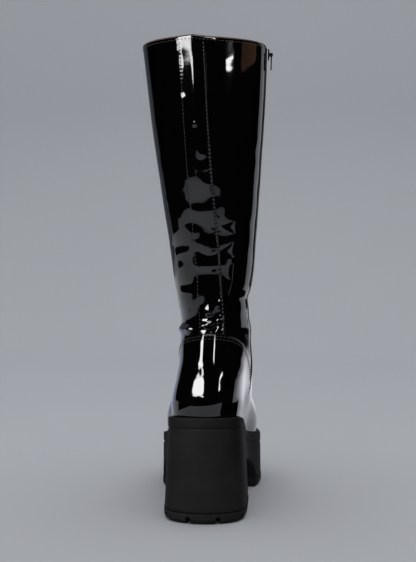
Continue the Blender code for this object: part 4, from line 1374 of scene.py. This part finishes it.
# %% Paper sweep, in metres
SWEEP_FRONT = -3.75
SWEEP_BACK = 1.9
SWEEP_CURVE = 0.7
SWEEP_TOP = 2.4
SWEEP_HALF_WIDTH = 2.1
SWEEP_BEND_POINTS = 25
SWEEP_COLUMNS = 9
bend = np.linspace(0.0, math.pi / 2, SWEEP_BEND_POINTS)
bend_y = SWEEP_BACK - SWEEP_CURVE + SWEEP_CURVE * np.sin(bend)
sweep_y = np.concatenate(((SWEEP_FRONT,), bend_y, (SWEEP_BACK,)))
sweep_z = np.concatenate(((0.0,), SWEEP_CURVE * (1 - np.cos(bend)), (SWEEP_TOP,)))
sweep_x = np.linspace(-SWEEP_HALF_WIDTH, SWEEP_HALF_WIDTH, SWEEP_COLUMNS)
sweep_points = np.stack(np.broadcast_arrays(sweep_x, sweep_y[:, None], sweep_z[:, None]), axis=-1)
sweep = smooth_object("paper_sweep", sweep_points.reshape(-1, 3), grid_faces(*sweep_points.shape[:2]), paper)
print(f"paper {2 * SWEEP_HALF_WIDTH} m wide, {SWEEP_BACK - SWEEP_FRONT:.2f} m deep")

# %% Room and lamps
ROOM_STRENGTH = 0.95
room = bpy.data.worlds.new("dim_room")
room.use_nodes = True
room.node_tree.nodes["Background"].inputs["Color"].default_value = linear("#929293")
room.node_tree.nodes["Background"].inputs["Strength"].default_value = ROOM_STRENGTH
bpy.context.scene.world = room
room.cycles_visibility.glossy = False
bpy.context.scene.view_settings.view_transform = "Standard"


def add_lamp(name, place, target, size, radiance):
    """A soft rectangular lamp of a size in metres, for matte surfaces alone."""
    light = bpy.data.lights.new(name, "AREA")
    light.shape = "RECTANGLE"
    light.size, light.size_y = size
    light.energy = radiance * math.pi * size[0] * size[1]
    lamp = bpy.data.objects.new(name, light)
    lamp.location = place
    lamp.rotation_euler = (Vector(target) - Vector(place)).to_track_quat("-Z", "Y").to_euler()
    lamp.visible_camera = False
    lamp.visible_glossy = False
    bpy.context.scene.collection.objects.link(lamp)
    print(f"{name}: {light.energy:.0f} W")


add_lamp("floor_light", (0.0, 0.0, 2.7), (0.0, 0.0, 0.0), (3.8, 3.6), radiance=0.94)
add_lamp("front_light", (-0.5, -2.6, 1.5), (0.0, 0.0, 0.2), (1.6, 1.2), radiance=1.0)

# %% Materials of panels and cards
GLOW = "glow"
# cloth lit from behind: an even glow that fades at its edge, with no surface of its own
diffuser, diffuser_shader = new_material(
    "glowing_diffuser_cloth",
    Base_Color=linear("#000000"),
    Roughness=1.0,
    Specular_IOR_Level=0.0,
    Emission_Strength=1.0,
)
panel_glow = add_node(diffuser, "ShaderNodeAttribute", attribute_name=GLOW)
diffuser.node_tree.links.new(panel_glow.outputs["Color"], diffuser_shader.inputs["Emission Color"])
diffuser.node_tree.links.new(panel_glow.outputs["Alpha"], diffuser_shader.inputs["Alpha"])
# flocked card: it gives nothing back, so the gloss is black where it mirrors one
black_card, _ = new_material(
    "black_flocked_card", Base_Color=linear("#000000"), Roughness=1.0, Specular_IOR_Level=0.0
)


# %% Places round the boot, and things for the gloss alone
COLLAR_BACK = np.array((0.0, -0.11, 0.43))
HEEL_BACK = np.array((0.0, -0.11, 0.13))


def seen_from(eye, azimuth, elevation, distance):
    """Places in directions from a point of the boot: azimuth 0 is to the camera, positive to its right."""
    a, e = np.broadcast_arrays(np.radians(azimuth), np.radians(elevation))
    way = np.stack((np.sin(a) * np.cos(e), -np.cos(a) * np.cos(e), np.sin(e)), axis=-1)
    return eye + distance * way


def gloss_only(piece):
    """Lets a thing of the studio show in reflections and nowhere else."""
    piece.visible_camera = False
    piece.visible_diffuse = False
    piece.visible_shadow = False


def add_card(name, first, last, low, high):
    """A black card that stands between two places of the floor, from a low to a high edge, in metres."""
    corners = [(*first, low), (*last, low), (*last, high), (*first, high)]
    gloss_only(smooth_object(name, corners, [(0, 1, 2, 3)], black_card))
    print(f"{name}: up to {high} m")


print("a metre off the collar, to the camera:", seen_from(COLLAR_BACK, 0.0, 0.0, 1.0).round(2).tolist())

# %% A glowing panel
PANEL_POINTS = 33


def add_panel(name, eye, distance, rows, radiance, colour="#ffffff", roundness=4.0, edge=0.2, fade=0.0):
    """A glowing panel through rows of elevation and two azimuths in degrees, as seen from the boot.

    It is soft at its edge, and brightens from its low end over the degrees of its fade. One without
    radiance is a soft black flag."""
    elevations, lefts, rights = np.array(rows, float).T
    across = np.linspace(-1.0, 1.0, PANEL_POINTS)
    up = across[:, None]
    climb = elevations[0] + (elevations[-1] - elevations[0]) * (up + 1) / 2
    left = np.interp(climb, elevations, lefts)
    right = np.interp(climb, elevations, rights)
    points = seen_from(eye, left + (right - left) * (across + 1) / 2, climb, distance)
    panel = smooth_object(name, points.reshape(-1, 3), grid_faces(PANEL_POINTS, PANEL_POINTS), diffuser)
    reach = (np.abs(across) ** roundness + np.abs(up) ** roundness) ** (1 / roundness)
    glow = np.empty((PANEL_POINTS, PANEL_POINTS, 4))
    glow[..., :3] = radiance * np.array(linear(colour)[:3])
    glow[..., 3] = smoother((1 - reach) / edge)
    if fade:
        glow[..., 3] *= smoother((climb - elevations[0]) / fade)
    layer = panel.data.attributes.new(GLOW, "FLOAT_COLOR", "POINT")
    layer.data.foreach_set("color", glow.ravel())
    gloss_only(panel)
    print(f"{name}: {distance} m off, radiance {radiance}")


print(f"a panel has {PANEL_POINTS**2} points that carry its glow")

# %% Panels for the bright streaks
FAR = 5.0
BEFORE_FAR = 4.98
# a tall box left of the camera with two prongs at its foot: the patch under the collar and the long streak
MAIN_BOX = ((7.0, -57, -23), (15, -57, -23), (22, -49, -30), (27, -45, -35), (45, -44, -36))
LEFT_PRONG = ((5.8, -48, -43.5), (6.6, -50, -42), (8.6, -54, -39))
RIGHT_PRONG = ((5.2, -27, -24), (6.6, -33, -23), (8.6, -37.5, -23))
add_panel("main_box", COLLAR_BACK, FAR, MAIN_BOX, 11.0, roundness=3.5, edge=0.1, fade=1.0)
add_panel("left_prong", COLLAR_BACK, BEFORE_FAR, LEFT_PRONG, 9.0, edge=0.15)
add_panel("right_prong", COLLAR_BACK, BEFORE_FAR, RIGHT_PRONG, 9.0, edge=0.15)
# two boxes to its right: the spot beside the collar, and the thin streaks of ankle and counter
add_panel("oval_box", COLLAR_BACK, FAR, ((8.7, 42, 56), (11.0, 48, 65)), 12.0, roundness=2.0, edge=0.3)
add_panel("slim_box", COLLAR_BACK, FAR, ((19, 24, 29), (45, 24, 29)), 12.0, roundness=6.0, edge=0.3)
# the room beside the boot: faint tones along the shaft's two edges
WARM_WALL = ((8.6, 74, 84), (10, 74, 112), (16, 84, 135))
LEFT_WALL = ((-24, -176, -128), (40, -176, -128))
add_panel("warm_wall", COLLAR_BACK, FAR, WARM_WALL, 0.2, "#ffc09d", roundness=8.0, edge=0.1)
add_panel("left_wall", COLLAR_BACK, 0.6, LEFT_WALL, 0.09, "#dfe6ff", roundness=12.0, edge=0.06)
# two low panels beside the heel: the rims of light on the counter
LEFT_KICKER = ((-13, -174, -122), (3, -174, -122))
RIGHT_KICKER = ((-13, 106, 200), (-2, 106, 200))
add_panel("left_kicker", HEEL_BACK, 0.5, LEFT_KICKER, 0.5, "#cfdcff", edge=0.6)
add_panel("right_kicker", HEEL_BACK, 0.5, RIGHT_KICKER, 0.9, "#f4f6ff", roundness=3.0, edge=0.9)
# a box overhead: light on the collar, the rolls of the ankle and the toe
add_panel("top_box", COLLAR_BACK, 3.0, ((36, -50, 40), (72, -50, 40)), 4.0, edge=0.3)

# %% Flags and cards for the dark
SHAFT_BACK = np.array((0.0, -0.11, 0.27))
ANKLE_SIDE = np.array((0.034, -0.065, 0.166))
CARD_FOOT = 0.001
LOW_CARD = 0.125
INNER_X = 0.125
# soft flags: over the floor towards the camera, and beside the ankle
add_panel("stand_flag", SHAFT_BACK, 1.2, ((-16, 4, 26), (-7.5, 4, 26)), 0.0, edge=0.3)
add_panel("ankle_flag", ANKLE_SIDE, 0.18, ((-11, 84, 157), (3, 84, 157)), 0.0, edge=0.4)
# low cards hide the pale floor from the shaft, and those at the inner side keep it out of ankle and counter
add_card("front_card", (-0.42, -0.45), (1.20, -0.45), CARD_FOOT, LOW_CARD)
add_card("side_card", (-0.42, -0.45), (-0.42, -0.03), CARD_FOOT, LOW_CARD)
add_card("inner_shaft_card", (INNER_X, -0.13), (INNER_X, -0.02), 0.17, 0.40)
add_card("inner_heel_card", (INNER_X, -0.19), (INNER_X, -0.075), CARD_FOOT, 0.20)
add_card("inner_sole_card", (INNER_X, -0.075), (INNER_X, 0.02), CARD_FOOT, 0.088)
add_card("edge_card", (0.163, 0.18), (0.06, 0.23), 0.19, 0.60)

# %% [markdown]
# ## Camera
# The photograph was taken from behind, level, a little to the inner side, about a metre away. The camera
# stands there too and turns to the boot, with a longer lens so that the boot fills the frame. Its place and
# lens come from the photograph's own perspective: heel and forefoot stand on one floor, but the forefoot is
# farther off and so is drawn higher.

# %% Camera
SENSOR = 36.0
IMAGE_WIDTH, IMAGE_HEIGHT = 416, 562
PHOTO_FOCAL_PX = 748.0
CLOSER = 1.35
CAMERA_PLACE = Vector(in_frame((68.0, -935.0, 252.5)))
BOOT_MIDDLE_PX = (157.5, 248.5)
PHOTO_AXIS_PX = (208.0, 229.0)
aim = Vector(
    (
        (BOOT_MIDDLE_PX[0] - PHOTO_AXIS_PX[0]) / PHOTO_FOCAL_PX,
        1.0,
        -(BOOT_MIDDLE_PX[1] - PHOTO_AXIS_PX[1]) / PHOTO_FOCAL_PX,
    )
)
lens = bpy.data.cameras.new("camera")
lens.sensor_width = SENSOR
lens.lens = CLOSER * PHOTO_FOCAL_PX * SENSOR / max(IMAGE_WIDTH, IMAGE_HEIGHT)
lens.clip_end = 50.0
camera = bpy.data.objects.new("camera", lens)
camera.location = CAMERA_PLACE
camera.rotation_euler = aim.to_track_quat("-Z", "Y").to_euler()
bpy.context.scene.collection.objects.link(camera)
bpy.context.scene.camera = camera
print(f"lens {lens.lens:.1f} mm")
